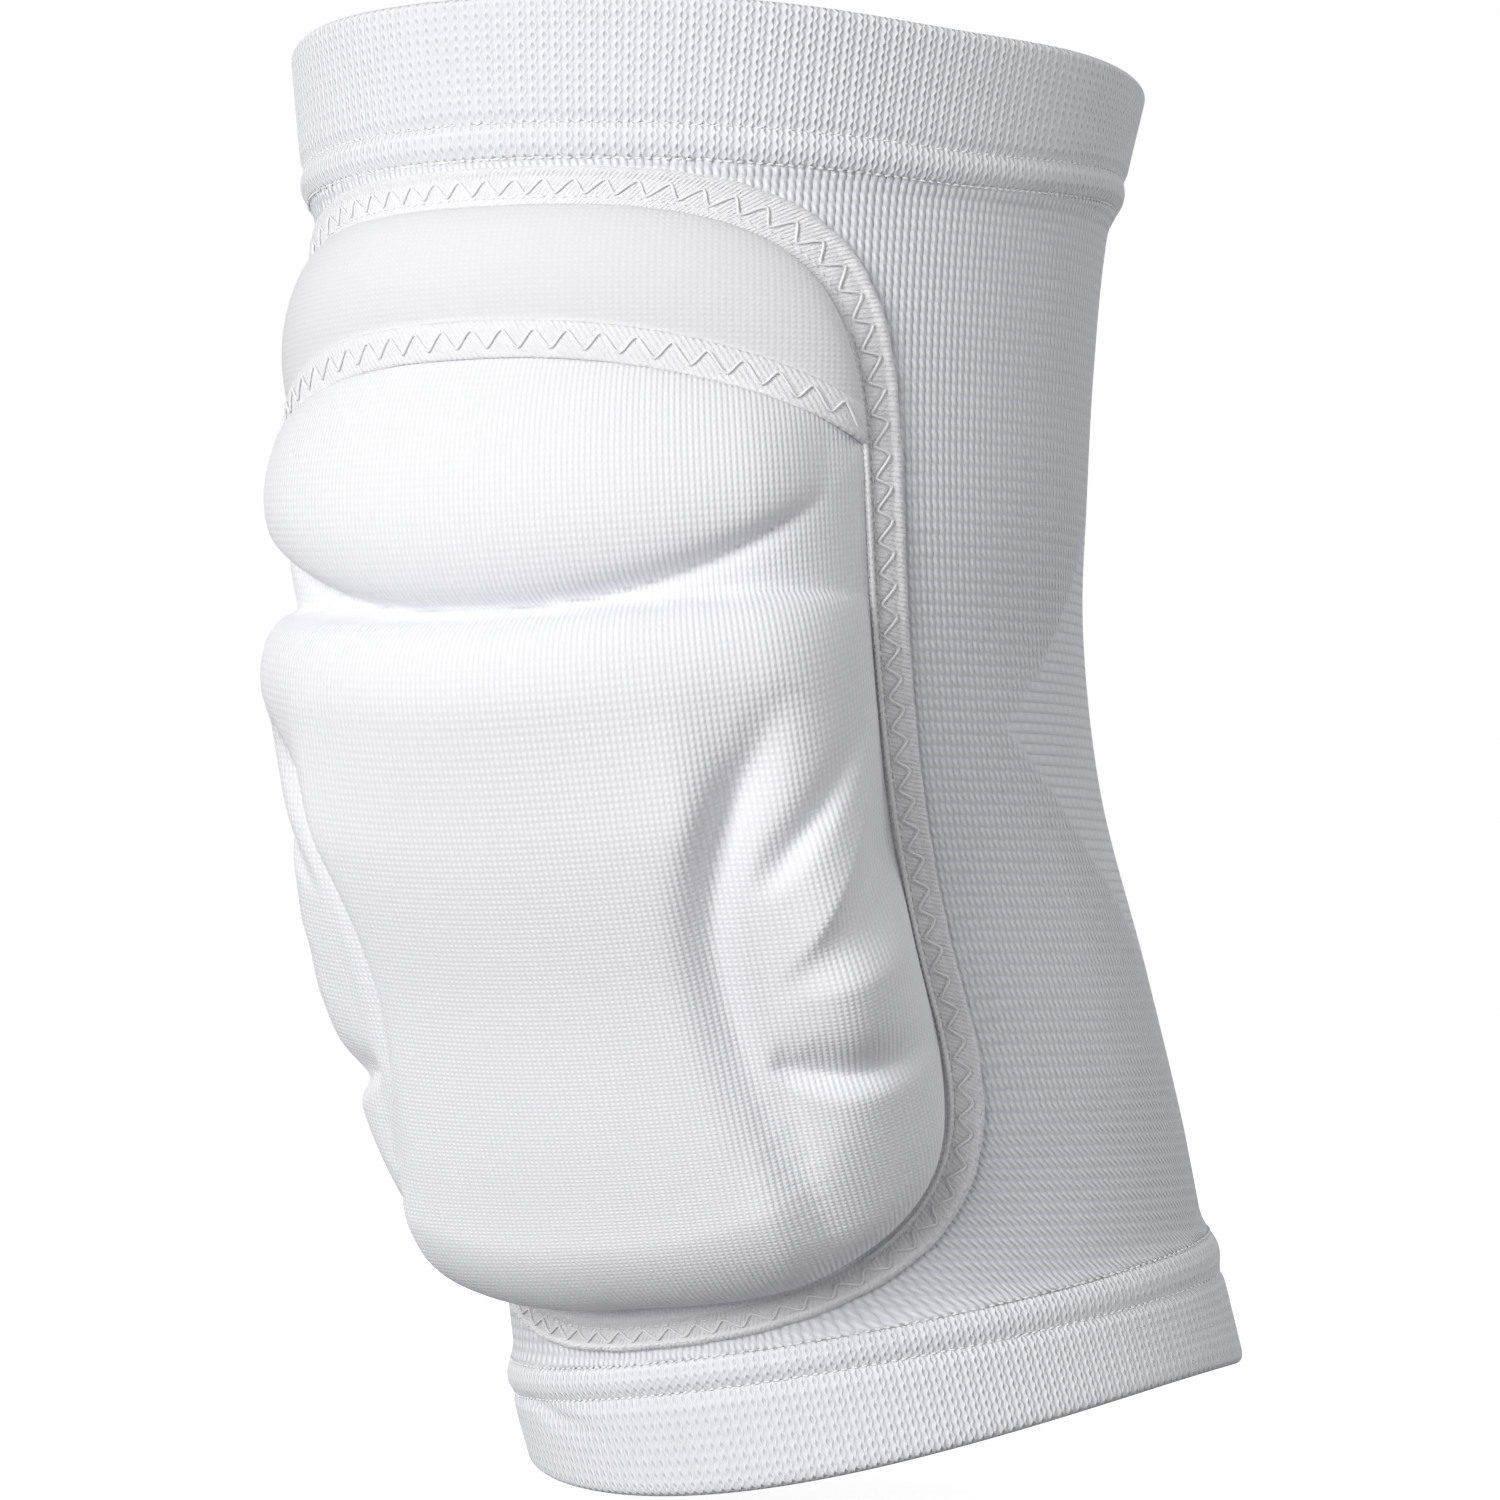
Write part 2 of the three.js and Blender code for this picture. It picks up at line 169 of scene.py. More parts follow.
def climbed(angle, height):
    turned = np.degrees(np.abs((angle + math.pi) % (2 * math.pi) - math.pi))
    back = smoothStep(turned, climb["from"], climb["to"])
    dip = np.exp(-(((turned - climb["sideAt"]) / climb["sideReach"]) ** 2)) * climb["sideDip"]
    toRim = smoothStep(height, topWeltTop, topRim)
    fromSleeve = smoothStep(height, topWeltBottom - climb["fade"], topWeltBottom)
    seam = climb["seam"] * back
    rim = climb["rim"] * back - dip
    return height + fromSleeve * (seam + (rim - seam) * toRim)


# The pad's outline on that surface

pad = {
    "height": 0.772 * leg["height"],
    "width": 105.2,
    "tapeWidth": 5.0,
    "panelThickness": 1.4,
    "foamThickness": 17.0,
    "coverThickness": 1.0,
    "weltToTape": 1.1,
    # how far the rounded ends reach down and up, as shares of the height, and how square they are
    "upperEnd": 0.344,
    "lowerEnd": 0.336,
    "upperPower": 4.0,
    "lowerPower": 2.6,
    # the tape across: its lower edge as a share of the height, and how it droops to the sides
    "crossTapeWidth": 4.0,
    "crossTapeAt": 0.847,
    "crossTapeDroop": 0.064,
    "crossTapePower": 2.5,
}
padTop = topWeltBottom - pad["weltToTape"]
padBottom = padTop - pad["height"]
halfAngle = pad["width"] / leg["width"]
upperSide = padTop - pad["upperEnd"] * pad["height"]
lowerSide = padBottom + pad["lowerEnd"] * pad["height"]
coverInset = pad["tapeWidth"] + edge["clearance"]


def insetAngle(inset):
    return halfAngle - 2 * inset / leg["width"]


coverAngle = insetAngle(coverInset)
halfArc = coverAngle * leg["width"] / 2


def roundedEnd(share, power):
    return np.clip(1 - np.abs(share) ** power, 0, 1) ** (1 / power)


def outlineTop(share, inset):
    return upperSide + (padTop - inset - upperSide) * roundedEnd(share, pad["upperPower"])


def outlineBottom(share, inset):
    return lowerSide - (lowerSide - padBottom - inset) * roundedEnd(share, pad["lowerPower"])


def crossTapeBottom(share):
    droop = pad["crossTapeDroop"] * np.abs(share) ** pad["crossTapePower"]
    return padBottom + pad["height"] * (pad["crossTapeAt"] - droop)


def crossTapeTop(share):
    return crossTapeBottom(share) + pad["crossTapeWidth"]


def endReach(swing, power):
    return (np.abs(np.sin(swing)) ** power + np.cos(swing) ** power) ** (-1 / power)


def routeAt(turn, inset):
    # turn runs from 0 to 4: over the top, down the right side, back below and up the left side
    turn = np.asarray(turn) % 4
    part = np.floor(turn).astype(int)
    t = turn - part
    swing = math.pi * (t - 0.5)
    reachTop = endReach(swing, pad["upperPower"])
    reachLow = endReach(swing, pad["lowerPower"])
    rise = padTop - inset - upperSide
    drop = padBottom + inset - lowerSide
    parts = [part == 0, part == 1, part == 2]
    shares = [reachTop * np.sin(swing), np.ones_like(t), -reachLow * np.sin(swing)]
    heights = [
        upperSide + rise * reachTop * np.cos(swing),
        upperSide + (lowerSide - upperSide) * t,
        lowerSide + drop * reachLow * np.cos(swing),
    ]
    share = np.select(parts, shares, -np.ones_like(t))
    height = np.select(parts, heights, lowerSide + (upperSide - lowerSide) * t)
    return share * insetAngle(inset), height


def evenTurns(steps, inset, start=0.0):
    # turns that are evenly spaced along the cloth, measured on a fine copy of the route just above it
    fineSteps = 8000
    lift = 1.0
    dense = start + np.linspace(0, 4, fineSteps + 1)
    points = legPoint(*routeAt(dense, inset), lift)
    along = np.concatenate([[0], np.cumsum(np.linalg.norm(np.diff(points, axis=0), axis=1))])
    return np.interp(np.linspace(0, along[-1], steps, endpoint=False), along, dense), along[-1]


# Mesh helpers

def clothMesh(name, points, faces, uv):
    mesh = bpy.data.meshes.new(name)
    mesh.from_pydata((np.asarray(points) * millimetre).tolist(), [], faces.tolist())
    layer = mesh.uv_layers.new(name="cloth")
    layer.data.foreach_set("uv", np.asarray(uv, dtype=np.float32).ravel())
    mesh.shade_smooth()
    piece = bpy.data.objects.new(name, mesh)
    scene.collection.objects.link(piece)
    return piece


def gridFaces(columns, rows, wrapColumns, wrapRows):
    i, j = np.meshgrid(np.arange(columns if wrapColumns else columns - 1),
                       np.arange(rows if wrapRows else rows - 1), indexing="ij")
    i = i.ravel()
    j = j.ravel()
    nextI = (i + 1) % columns
    nextJ = (j + 1) % rows
    faces = np.stack([i * rows + j, i * rows + nextJ, nextI * rows + nextJ, nextI * rows + j], axis=1)
    corners = np.stack([np.stack([i, j], 1), np.stack([i, j + 1], 1),
                        np.stack([i + 1, j + 1], 1), np.stack([i + 1, j], 1)], axis=1)
    return faces, corners


def bandPiece(name, points, wales, courses, shift=None):
    # points[i][j]: i goes round the leg, j goes up inside the wall and down outside it
    columns, rows = points.shape[:2]
    faces, corners = gridFaces(columns, rows, True, True)
    u = corners[..., 0] * wales / columns
    if shift is None:
        v = courses[corners[..., 1]]
    else:
        u = u + shift[corners[..., 0] % columns, corners[..., 1] % rows]
        v = courses[corners[..., 0] % columns, corners[..., 1] % rows]
    return clothMesh(name, points.reshape(-1, 3), faces, np.stack([u, v], axis=-1))


def sheetPiece(name, outer, inner, flatX, flatY):
    # outer[i][j]: i goes from left to right, j goes up; the inner skin closes the sheet behind it
    columns, rows = outer.shape[:2]
    front, _ = gridFaces(columns, rows, False, False)
    front = front[:, ::-1]
    count = columns * rows
    at = np.arange(count).reshape(columns, rows)
    loop = np.concatenate([at[:, 0], at[-1, 1:], at[-2::-1, -1], at[0, -2:0:-1]])
    after = np.roll(loop, -1)
    rim = np.stack([loop, loop + count, after + count, after], axis=1)
    faces = np.concatenate([front, front[:, ::-1] + count, rim])
    points = np.concatenate([outer.reshape(-1, 3), inner.reshape(-1, 3)])
    flat = np.stack([flatX.ravel(), flatY.ravel()], axis=-1)
    flat = np.concatenate([flat, flat])
    return clothMesh(name, points, faces, flat[faces])


def sheetShares(columns, reach):
    # closer together towards the sides, where the sheet turns away
    swing = 0.9
    u = np.linspace(0, 1, columns)
    return np.sin((u - 0.5) * math.pi * swing) / math.sin(math.pi * swing / 2) * reach


def threadPath(name, runs):
    # runs: lists of points, each with True where the run closes on itself
    points = []
    links = []
    for run, closed in runs:
        start = len(points)
        points.extend((np.asarray(run) * millimetre).tolist())
        links.extend((start + i, start + i + 1) for i in range(len(run) - 1))
        if closed:
            links.append((len(points) - 1, start))
    mesh = bpy.data.meshes.new(name)
    mesh.from_pydata(points, links, [])
    path = bpy.data.objects.new(name, mesh)
    scene.collection.objects.link(path)
    return path


def grown(path, group, **values):
    modifier = path.modifiers.new("sewing", "NODES")
    modifier.node_group = group
    for socket in group.interface.items_tree:
        if socket.in_out == "INPUT" and socket.name in values:
            modifier[socket.identifier] = values[socket.name]
    name = path.name
    path.name = name + "Path"
    mesh = bpy.data.meshes.new_from_object(path.evaluated_get(bpy.context.evaluated_depsgraph_get()))
    path.modifiers.remove(modifier)
    bpy.data.objects.remove(path)
    mesh.name = name
    mesh.shade_smooth()
    piece = bpy.data.objects.new(name, mesh)
    scene.collection.objects.link(piece)
    return piece


# Shader groups

def newGroup(name, kind, inputs, outputs):
    group = bpy.data.node_groups.new(name, kind)
    for label, socketType, value in inputs:
        socket = group.interface.new_socket(name=label, in_out="INPUT", socket_type=socketType)
        if value is not None:
            socket.default_value = value
    for label, socketType in outputs:
        group.interface.new_socket(name=label, in_out="OUTPUT", socket_type=socketType)
    start = group.nodes.new("NodeGroupInput")
    end = group.nodes.new("NodeGroupOutput")
    return group, start.outputs, end.inputs


def plug(tree, source, target):
    if isinstance(source, bpy.types.NodeSocket):
        tree.links.new(source, target)
    else:
        target.default_value = source


def maths(tree, operation, *values):
    node = tree.nodes.new("ShaderNodeMath")
    node.operation = operation
    for source, target in zip(values, node.inputs):
        plug(tree, source, target)
    return node.outputs[0]


def halfCosine(tree, phase):
    turned = maths(tree, "COSINE", maths(tree, "MULTIPLY", phase, 2 * math.pi))
    return maths(tree, "MULTIPLY_ADD", turned, 0.5, 0.5)


def bell(tree, value, width):
    scaled = maths(tree, "DIVIDE", value, width)
    squared = maths(tree, "MULTIPLY", scaled, scaled)
    return maths(tree, "EXPONENT", maths(tree, "MULTIPLY", squared, -1.0))


# one rib to a unit of U and one course to a unit of V, so these are shares of a rib or a course
ribShape = {
    "strandAt": 0.12,
    "strandSwing": 0.16,
    "strandWidth": 0.14,
    "beadPower": 0.7,
    "holeWidth": 0.15,
    "holePower": 1.5,
}
ribKnit, given, out = newGroup("ribKnit", "ShaderNodeTree", [
    ("Stitches", "NodeSocketVector", None),
    ("Ridge", "NodeSocketFloat", 2.4),
    ("Wave", "NodeSocketFloat", 0.06),
    ("Bead", "NodeSocketFloat", 0.35),
    ("Dimple", "NodeSocketFloat", 0.4),
    ("Vee", "NodeSocketFloat", 0.8),
    ("Slant", "NodeSocketFloat", 0.0),
    ("Stagger", "NodeSocketFloat", 0.0),
    ("Chain", "NodeSocketFloat", 0.5),
    ("Uneven", "NodeSocketFloat", 0.2),
], [("Height", "NodeSocketFloat")])
split = ribKnit.nodes.new("ShaderNodeSeparateXYZ")
ribKnit.links.new(given["Stitches"], split.inputs[0])
across = split.outputs["X"]
oddWale = maths(ribKnit, "FLOORED_MODULO", maths(ribKnit, "FLOOR", across), 2.0)
along = maths(ribKnit, "MULTIPLY_ADD", oddWale, given["Stagger"], split.outputs["Y"])
wave = maths(ribKnit, "SINE", maths(ribKnit, "MULTIPLY", along, 2 * math.pi))
sway = maths(ribKnit, "MULTIPLY", wave, given["Wave"])
cell = maths(ribKnit, "SUBTRACT", maths(ribKnit, "FRACT", maths(ribKnit, "ADD", across, sway)), 0.5)
away = maths(ribKnit, "ABSOLUTE", cell)
fallen = maths(ribKnit, "POWER", maths(ribKnit, "MULTIPLY", away, 2.0), given["Ridge"])
ridge = maths(ribKnit, "SUBTRACT", 1.0, fallen)
looped = halfCosine(ribKnit, along)
strandAt = maths(ribKnit, "MULTIPLY_ADD", looped, ribShape["strandSwing"], ribShape["strandAt"])
strand = bell(ribKnit, maths(ribKnit, "SUBTRACT", away, strandAt), ribShape["strandWidth"])
chained = maths(ribKnit, "MULTIPLY", maths(ribKnit, "SUBTRACT", strand, ridge), given["Chain"])
body = maths(ribKnit, "ADD", ridge, chained)
phase = maths(ribKnit, "MULTIPLY_ADD", away, given["Vee"], along)
phase = maths(ribKnit, "MULTIPLY_ADD", cell, given["Slant"], phase)
bead = maths(ribKnit, "POWER", halfCosine(ribKnit, phase), ribShape["beadPower"])
gap = maths(ribKnit, "MULTIPLY", maths(ribKnit, "SUBTRACT", 1.0, bead), given["Bead"])
beaded = maths(ribKnit, "MULTIPLY", body, maths(ribKnit, "SUBTRACT", 1.0, gap))
stitch = ribKnit.nodes.new("ShaderNodeCombineXYZ")
ribKnit.links.new(maths(ribKnit, "FLOOR", across), stitch.inputs[0])
ribKnit.links.new(maths(ribKnit, "FLOOR", maths(ribKnit, "ADD", phase, 0.5)), stitch.inputs[1])
chance = ribKnit.nodes.new("ShaderNodeTexWhiteNoise")
chance.noise_dimensions = "2D"
ribKnit.links.new(stitch.outputs[0], chance.inputs["Vector"])
flatter = maths(ribKnit, "MULTIPLY", chance.outputs["Value"], given["Uneven"])
varied = maths(ribKnit, "MULTIPLY", beaded, maths(ribKnit, "SUBTRACT", 1.0, flatter))
holeAcross = bell(ribKnit, cell, ribShape["holeWidth"])
holeAlong = maths(ribKnit, "POWER", halfCosine(ribKnit, along), ribShape["holePower"])
hole = maths(ribKnit, "MULTIPLY", holeAcross, holeAlong)
dimpled = maths(ribKnit, "MULTIPLY", hole, given["Dimple"])
plug(ribKnit, maths(ribKnit, "SUBTRACT", varied, dimpled), out["Height"])

# the sleeve: upright ribs, with a diamond of fine cross ribs on each side
sideDiamond = {
    "angle": 118.0,
    "halfAngle": 38.0,
    "height": 3.5,
    "slope": 0.87,
    "rib": 1.5,
    "stitch": 1.9,
    "relief": 0.55,
    "base": 0.1,
}
sleeveKnit = {
    "girth": 305.0,
    "wales": 310,
    "course": 1.65,
    "upright": {"Ridge": 1.7, "Wave": 0.05, "Bead": 0.62, "Dimple": 0.0, "Vee": 0.2, "Slant": 0.15,
                "Stagger": 0.08, "Chain": 0.0},
    "crosswise": {"Wave": 0.0, "Bead": 0.6, "Dimple": 0.0, "Vee": 0.0, "Slant": 0.0,
                  "Stagger": 0.5, "Chain": 0.0},
}
sleeveWeave, given, out = newGroup("sleeveWeave", "ShaderNodeTree", [
    ("Stitches", "NodeSocketVector", None),
], [("Height", "NodeSocketFloat")])


def ribsInside(vector, values):
    node = sleeveWeave.nodes.new("ShaderNodeGroup")
    node.node_tree = ribKnit
    sleeveWeave.links.new(vector, node.inputs["Stitches"])
    for label, value in values.items():
        node.inputs[label].default_value = value
    return node.outputs["Height"]


split = sleeveWeave.nodes.new("ShaderNodeSeparateXYZ")
sleeveWeave.links.new(given["Stitches"], split.inputs[0])
turned = maths(sleeveWeave, "MULTIPLY_ADD", split.outputs["X"], 360 / sleeveKnit["wales"], -180.0)
turned = maths(sleeveWeave, "ABSOLUTE", turned)
turned = maths(sleeveWeave, "SUBTRACT", 180.0 - sideDiamond["angle"], turned)
turned = maths(sleeveWeave, "ABSOLUTE", turned)
sideways = maths(sleeveWeave, "SUBTRACT", sideDiamond["halfAngle"], turned)
fromMiddle = -sideDiamond["height"]
raised = maths(sleeveWeave, "MULTIPLY_ADD", split.outputs["Y"], sleeveKnit["course"], fromMiddle)
lowered = maths(sleeveWeave, "MULTIPLY", maths(sleeveWeave, "ABSOLUTE", raised), -1.0)
depthIn = maths(sleeveWeave, "MULTIPLY_ADD", sideways, sideDiamond["slope"], lowered)
within = sleeveWeave.nodes.new("ShaderNodeClamp")
sleeveWeave.links.new(maths(sleeveWeave, "MULTIPLY_ADD", depthIn, 0.5, 0.5), within.inputs["Value"])
turnedRibs = sleeveWeave.nodes.new("ShaderNodeCombineXYZ")
ribsUp = sleeveKnit["course"] / sideDiamond["rib"]
stitchesRound = sleeveKnit["girth"] / sleeveKnit["wales"] / sideDiamond["stitch"]
plug(sleeveWeave, maths(sleeveWeave, "MULTIPLY", split.outputs["Y"], ribsUp), turnedRibs.inputs[0])
plug(sleeveWeave, maths(sleeveWeave, "MULTIPLY", split.outputs["X"], stitchesRound), turnedRibs.inputs[1])
upright = ribsInside(given["Stitches"], sleeveKnit["upright"])
crosswise = ribsInside(turnedRibs.outputs[0], sleeveKnit["crosswise"])
crosswise = maths(sleeveWeave, "MULTIPLY_ADD", crosswise, sideDiamond["relief"], sideDiamond["base"])
lean = maths(sleeveWeave, "MULTIPLY", maths(sleeveWeave, "SUBTRACT", crosswise, upright), within.outputs[0])
plug(sleeveWeave, maths(sleeveWeave, "ADD", upright, lean), out["Height"])

# a raised dot to each unit of U and V, fuller across than along
dotPower = 0.75
dotKnit, given, out = newGroup("dotKnit", "ShaderNodeTree", [
    ("Stitches", "NodeSocketVector", None),
    ("Rows", "NodeSocketFloat", 0.5),
], [("Height", "NodeSocketFloat")])
split = dotKnit.nodes.new("ShaderNodeSeparateXYZ")
dotKnit.links.new(given["Stitches"], split.inputs[0])
columnRise = maths(dotKnit, "POWER", halfCosine(dotKnit, split.outputs["X"]), dotPower)
rowRise = halfCosine(dotKnit, split.outputs["Y"])
sunk = maths(dotKnit, "MULTIPLY", maths(dotKnit, "SUBTRACT", 1.0, rowRise), given["Rows"])
plug(dotKnit, maths(dotKnit, "MULTIPLY", columnRise, maths(dotKnit, "SUBTRACT", 1.0, sunk)), out["Height"])

# slanted twill lines under a brushed nap
twill = {
    "slant": 0.6,
    "lineRelief": 0.55,
    "lineBase": 0.25,
    "napScale": 1.8,
    "napDetail": 5.0,
    "napRoughness": 0.65,
}
brushedTwill, given, out = newGroup("brushedTwill", "ShaderNodeTree", [
    ("Stitches", "NodeSocketVector", None),
    ("Nap", "NodeSocketFloat", 0.6),
], [("Height", "NodeSocketFloat")])
split = brushedTwill.nodes.new("ShaderNodeSeparateXYZ")
brushedTwill.links.new(given["Stitches"], split.inputs[0])
slanted = maths(brushedTwill, "MULTIPLY_ADD", split.outputs["Y"], twill["slant"], split.outputs["X"])
line = halfCosine(brushedTwill, slanted)
nap = brushedTwill.nodes.new("ShaderNodeTexNoise")
nap.inputs["Scale"].default_value = twill["napScale"]
nap.inputs["Detail"].default_value = twill["napDetail"]
nap.inputs["Roughness"].default_value = twill["napRoughness"]
brushedTwill.links.new(given["Stitches"], nap.inputs["Vector"])
napRise = maths(brushedTwill, "SUBTRACT", nap.outputs["Fac"], 0.5)
napHeight = maths(brushedTwill, "MULTIPLY", napRise, given["Nap"])
lineHeight = maths(brushedTwill, "MULTIPLY_ADD", line, twill["lineRelief"], twill["lineBase"])
plug(brushedTwill, maths(brushedTwill, "ADD", lineHeight, napHeight), out["Height"])

# cloth colour with painted shade: darker in the hollows between the threads, with faint uneven patches of
# tone
toneWithPaintedShade, given, out = newGroup("toneWithPaintedShade", "ShaderNodeTree", [
    ("Cloth", "NodeSocketColor", (0.8, 0.8, 0.8, 1)),
    ("Painted Shade", "NodeSocketColor", (0.5, 0.5, 0.5, 1)),
    ("Height", "NodeSocketFloat", 1.0),
    ("Cavity Shade", "NodeSocketFloat", 0.5),
    ("Uneven", "NodeSocketFloat", 0.04),
], [("Color", "NodeSocketColor")])
place = toneWithPaintedShade.nodes.new("ShaderNodeTexCoord")
patches = toneWithPaintedShade.nodes.new("ShaderNodeTexNoise")
patches.inputs["Scale"].default_value = 90.0
patches.inputs["Detail"].default_value = 5.0
toneWithPaintedShade.links.new(place.outputs["Object"], patches.inputs["Vector"])
# painted shade: the lower the weave, the further the colour is drawn towards the shade colour
recessShade = maths(toneWithPaintedShade, "MULTIPLY", maths(toneWithPaintedShade, "SUBTRACT", 1.0, given["Height"]), given["Cavity Shade"])
shade = maths(toneWithPaintedShade, "MULTIPLY_ADD", patches.outputs["Fac"], given["Uneven"], recessShade)
limit = toneWithPaintedShade.nodes.new("ShaderNodeClamp")
toneWithPaintedShade.links.new(shade, limit.inputs["Value"])
shadeMix = toneWithPaintedShade.nodes.new("ShaderNodeMix")
shadeMix.data_type = "RGBA"
toneWithPaintedShade.links.new(limit.outputs[0], shadeMix.inputs["Factor"])
toneWithPaintedShade.links.new(given["Cloth"], shadeMix.inputs["A"])
toneWithPaintedShade.links.new(given["Painted Shade"], shadeMix.inputs["B"])
toneWithPaintedShade.links.new(shadeMix.outputs["Result"], out["Color"])
print("shader groups built")

# the first colour is the cloth's own, the second is painted shade for the hollows between the threads, the
# next number how strongly that painted shade darkens the hollows, relief the bump in millimetres
finishes = {
    "sleeveKnit": {
        "group": sleeveWeave, "values": {},
        "cloth": (0.965, 0.97, 1.0), "between": (0.53, 0.54, 0.6), "cavityShade": 0.54, "relief": 0.36,
        "scale": (1, 1, 1), "rough": 0.9, "sheen": 0.2,
    },
    "cuffKnit": {
        "group": ribKnit,
        "values": {"Wave": 0.02, "Bead": 0.15, "Dimple": 0.6, "Vee": 0.0, "Slant": 0.6, "Chain": 0.75,
                   "Uneven": 0.25},
        "cloth": (0.95, 0.955, 0.99), "between": (0.6, 0.61, 0.66), "cavityShade": 0.34, "relief": 0.24,
        "scale": (1, 1, 1), "rough": 0.9, "sheen": 0.2,
    },
    "coverKnit": {
        "group": dotKnit, "values": {"Rows": 0.5},
        "cloth": (0.955, 0.955, 0.99), "between": (0.62, 0.63, 0.68), "cavityShade": 0.3, "relief": 0.13,
        "scale": (1 / 0.6, 1 / 0.68, 1), "rough": 0.85, "sheen": 0.15,
    },
    "panelTricot": {
        "group": dotKnit, "values": {"Rows": 0.9},
        "cloth": (0.84, 0.84, 0.855), "between": (0.68, 0.68, 0.7), "cavityShade": 0.22, "relief": 0.06,
        "scale": (1 / 0.75, 1 / 0.62, 1), "rough": 0.75, "sheen": 0.1,
    },
    "brushedTape": {
        "group": brushedTwill, "values": {"Nap": 1.6},
        "cloth": (0.985, 0.98, 1.0), "between": (0.78, 0.78, 0.82), "cavityShade": 0.22, "relief": 0.19,
        "scale": (1 / 0.7, 1 / 0.7, 1), "rough": 0.92, "sheen": 0.25,
    },
}


def clothMaterial(name, settings):
    material = bpy.data.materials.new(name)
    material.use_nodes = True
    tree = material.node_tree
    shader = tree.nodes["Principled BSDF"]
    uv = tree.nodes.new("ShaderNodeUVMap")
    uv.uv_map = "cloth"
    mapping = tree.nodes.new("ShaderNodeMapping")
    mapping.inputs["Scale"].default_value = settings["scale"]
    tree.links.new(uv.outputs[0], mapping.inputs["Vector"])
    weave = tree.nodes.new("ShaderNodeGroup")
    weave.node_tree = settings["group"]
    tree.links.new(mapping.outputs[0], weave.inputs["Stitches"])
    for label, value in settings["values"].items():
        weave.inputs[label].default_value = value
    # the weave's height also paints shade into the base colour, darker in the hollows between the threads
    tone = tree.nodes.new("ShaderNodeGroup")
    tone.node_tree = toneWithPaintedShade
    tone.inputs["Cloth"].default_value = (*settings["cloth"], 1)
    tone.inputs["Painted Shade"].default_value = (*settings["between"], 1)
    tone.inputs["Cavity Shade"].default_value = settings["cavityShade"]
    tree.links.new(weave.outputs["Height"], tone.inputs["Height"])
    bump = tree.nodes.new("ShaderNodeBump")
    bump.inputs["Strength"].default_value = 1.0
    bump.inputs["Distance"].default_value = settings["relief"] * millimetre
    tree.links.new(weave.outputs["Height"], bump.inputs["Height"])
    tree.links.new(tone.outputs["Color"], shader.inputs["Base Color"])
    tree.links.new(bump.outputs["Normal"], shader.inputs["Normal"])
    shader.inputs["Roughness"].default_value = settings["rough"]
    shader.inputs["Sheen Weight"].default_value = settings["sheen"]
    shader.inputs["Sheen Roughness"].default_value = 0.5
    shader.inputs["Specular IOR Level"].default_value = 0.2
    return material


materials = {name: clothMaterial(name, settings) for name, settings in finishes.items()}


thread = {
    "colour": (0.98, 0.98, 0.99),
    "rough": 0.55,
    "sheen": 0.3,
    "shade": 0.75,
    "cavityShade": 0.4,
    "fibreScale": 2500.0,
    "relief": 0.05,
}


def threadMaterial(name):
    material = bpy.data.materials.new(name)
    material.use_nodes = True
    tree = material.node_tree
    shader = tree.nodes["Principled BSDF"]
    place = tree.nodes.new("ShaderNodeTexCoord")
    fibres = tree.nodes.new("ShaderNodeTexNoise")
    fibres.inputs["Scale"].default_value = thread["fibreScale"]
    fibres.inputs["Detail"].default_value = 2.0
    tree.links.new(place.outputs["Object"], fibres.inputs["Vector"])
    # painted shade: where the fibre noise is low the thread's colour is drawn towards a shaded copy of it
    tone = tree.nodes.new("ShaderNodeGroup")
    tone.node_tree = toneWithPaintedShade
    tone.inputs["Cloth"].default_value = (*thread["colour"], 1)
    tone.inputs["Painted Shade"].default_value = (*[thread["shade"] * c for c in thread["colour"]], 1)
    tone.inputs["Cavity Shade"].default_value = thread["cavityShade"]
    tree.links.new(fibres.outputs["Fac"], tone.inputs["Height"])
    bump = tree.nodes.new("ShaderNodeBump")
    bump.inputs["Distance"].default_value = thread["relief"] * millimetre
    tree.links.new(fibres.outputs["Fac"], bump.inputs["Height"])
    tree.links.new(tone.outputs["Color"], shader.inputs["Base Color"])
    tree.links.new(bump.outputs["Normal"], shader.inputs["Normal"])
    shader.inputs["Roughness"].default_value = thread["rough"]
    shader.inputs["Sheen Weight"].default_value = thread["sheen"]
    return material


materials["whiteThread"] = threadMaterial("whiteThread")
print("materials built")

# Sewing groups


def geometryGroup(name, inputs):
    sockets = [("Path", "NodeSocketGeometry", None)] + inputs + [("Thread", "NodeSocketMaterial", None)]
    group, given, out = newGroup(name, "GeometryNodeTree", sockets, [("Sewn", "NodeSocketGeometry")])
    curve = group.nodes.new("GeometryNodeMeshToCurve")
    group.links.new(given["Path"], curve.inputs["Mesh"])
    return group, given, out, curve.outputs["Curve"]


def finishGroup(group, given, out, geometry):
    real = group.nodes.new("GeometryNodeRealizeInstances")
    coloured = group.nodes.new("GeometryNodeSetMaterial")
    group.links.new(geometry, real.inputs["Geometry"])
    group.links.new(real.outputs["Geometry"], coloured.inputs["Geometry"])
    group.links.new(given["Thread"], coloured.inputs["Material"])
    group.links.new(coloured.outputs["Geometry"], out["Sewn"])


def resampled(group, curve, length):
    even = group.nodes.new("GeometryNodeResampleCurve")
    even.mode = "LENGTH"
    group.links.new(curve, even.inputs["Curve"])
    group.links.new(length, even.inputs["Length"])
    return even.outputs["Curve"]


# a round thread laid along the path
laidThread, given, out, curve = geometryGroup("laidThread", [("Radius", "NodeSocketFloat", 0.0002)])
circle = laidThread.nodes.new("GeometryNodeCurvePrimitiveCircle")
circle.inputs["Resolution"].default_value = 6
laidThread.links.new(given["Radius"], circle.inputs["Radius"])
tube = laidThread.nodes.new("GeometryNodeCurveToMesh")
laidThread.links.new(curve, tube.inputs["Curve"])
laidThread.links.new(circle.outputs["Curve"], tube.inputs["Profile Curve"])
finishGroup(laidThread, given, out, tube.outputs["Mesh"])

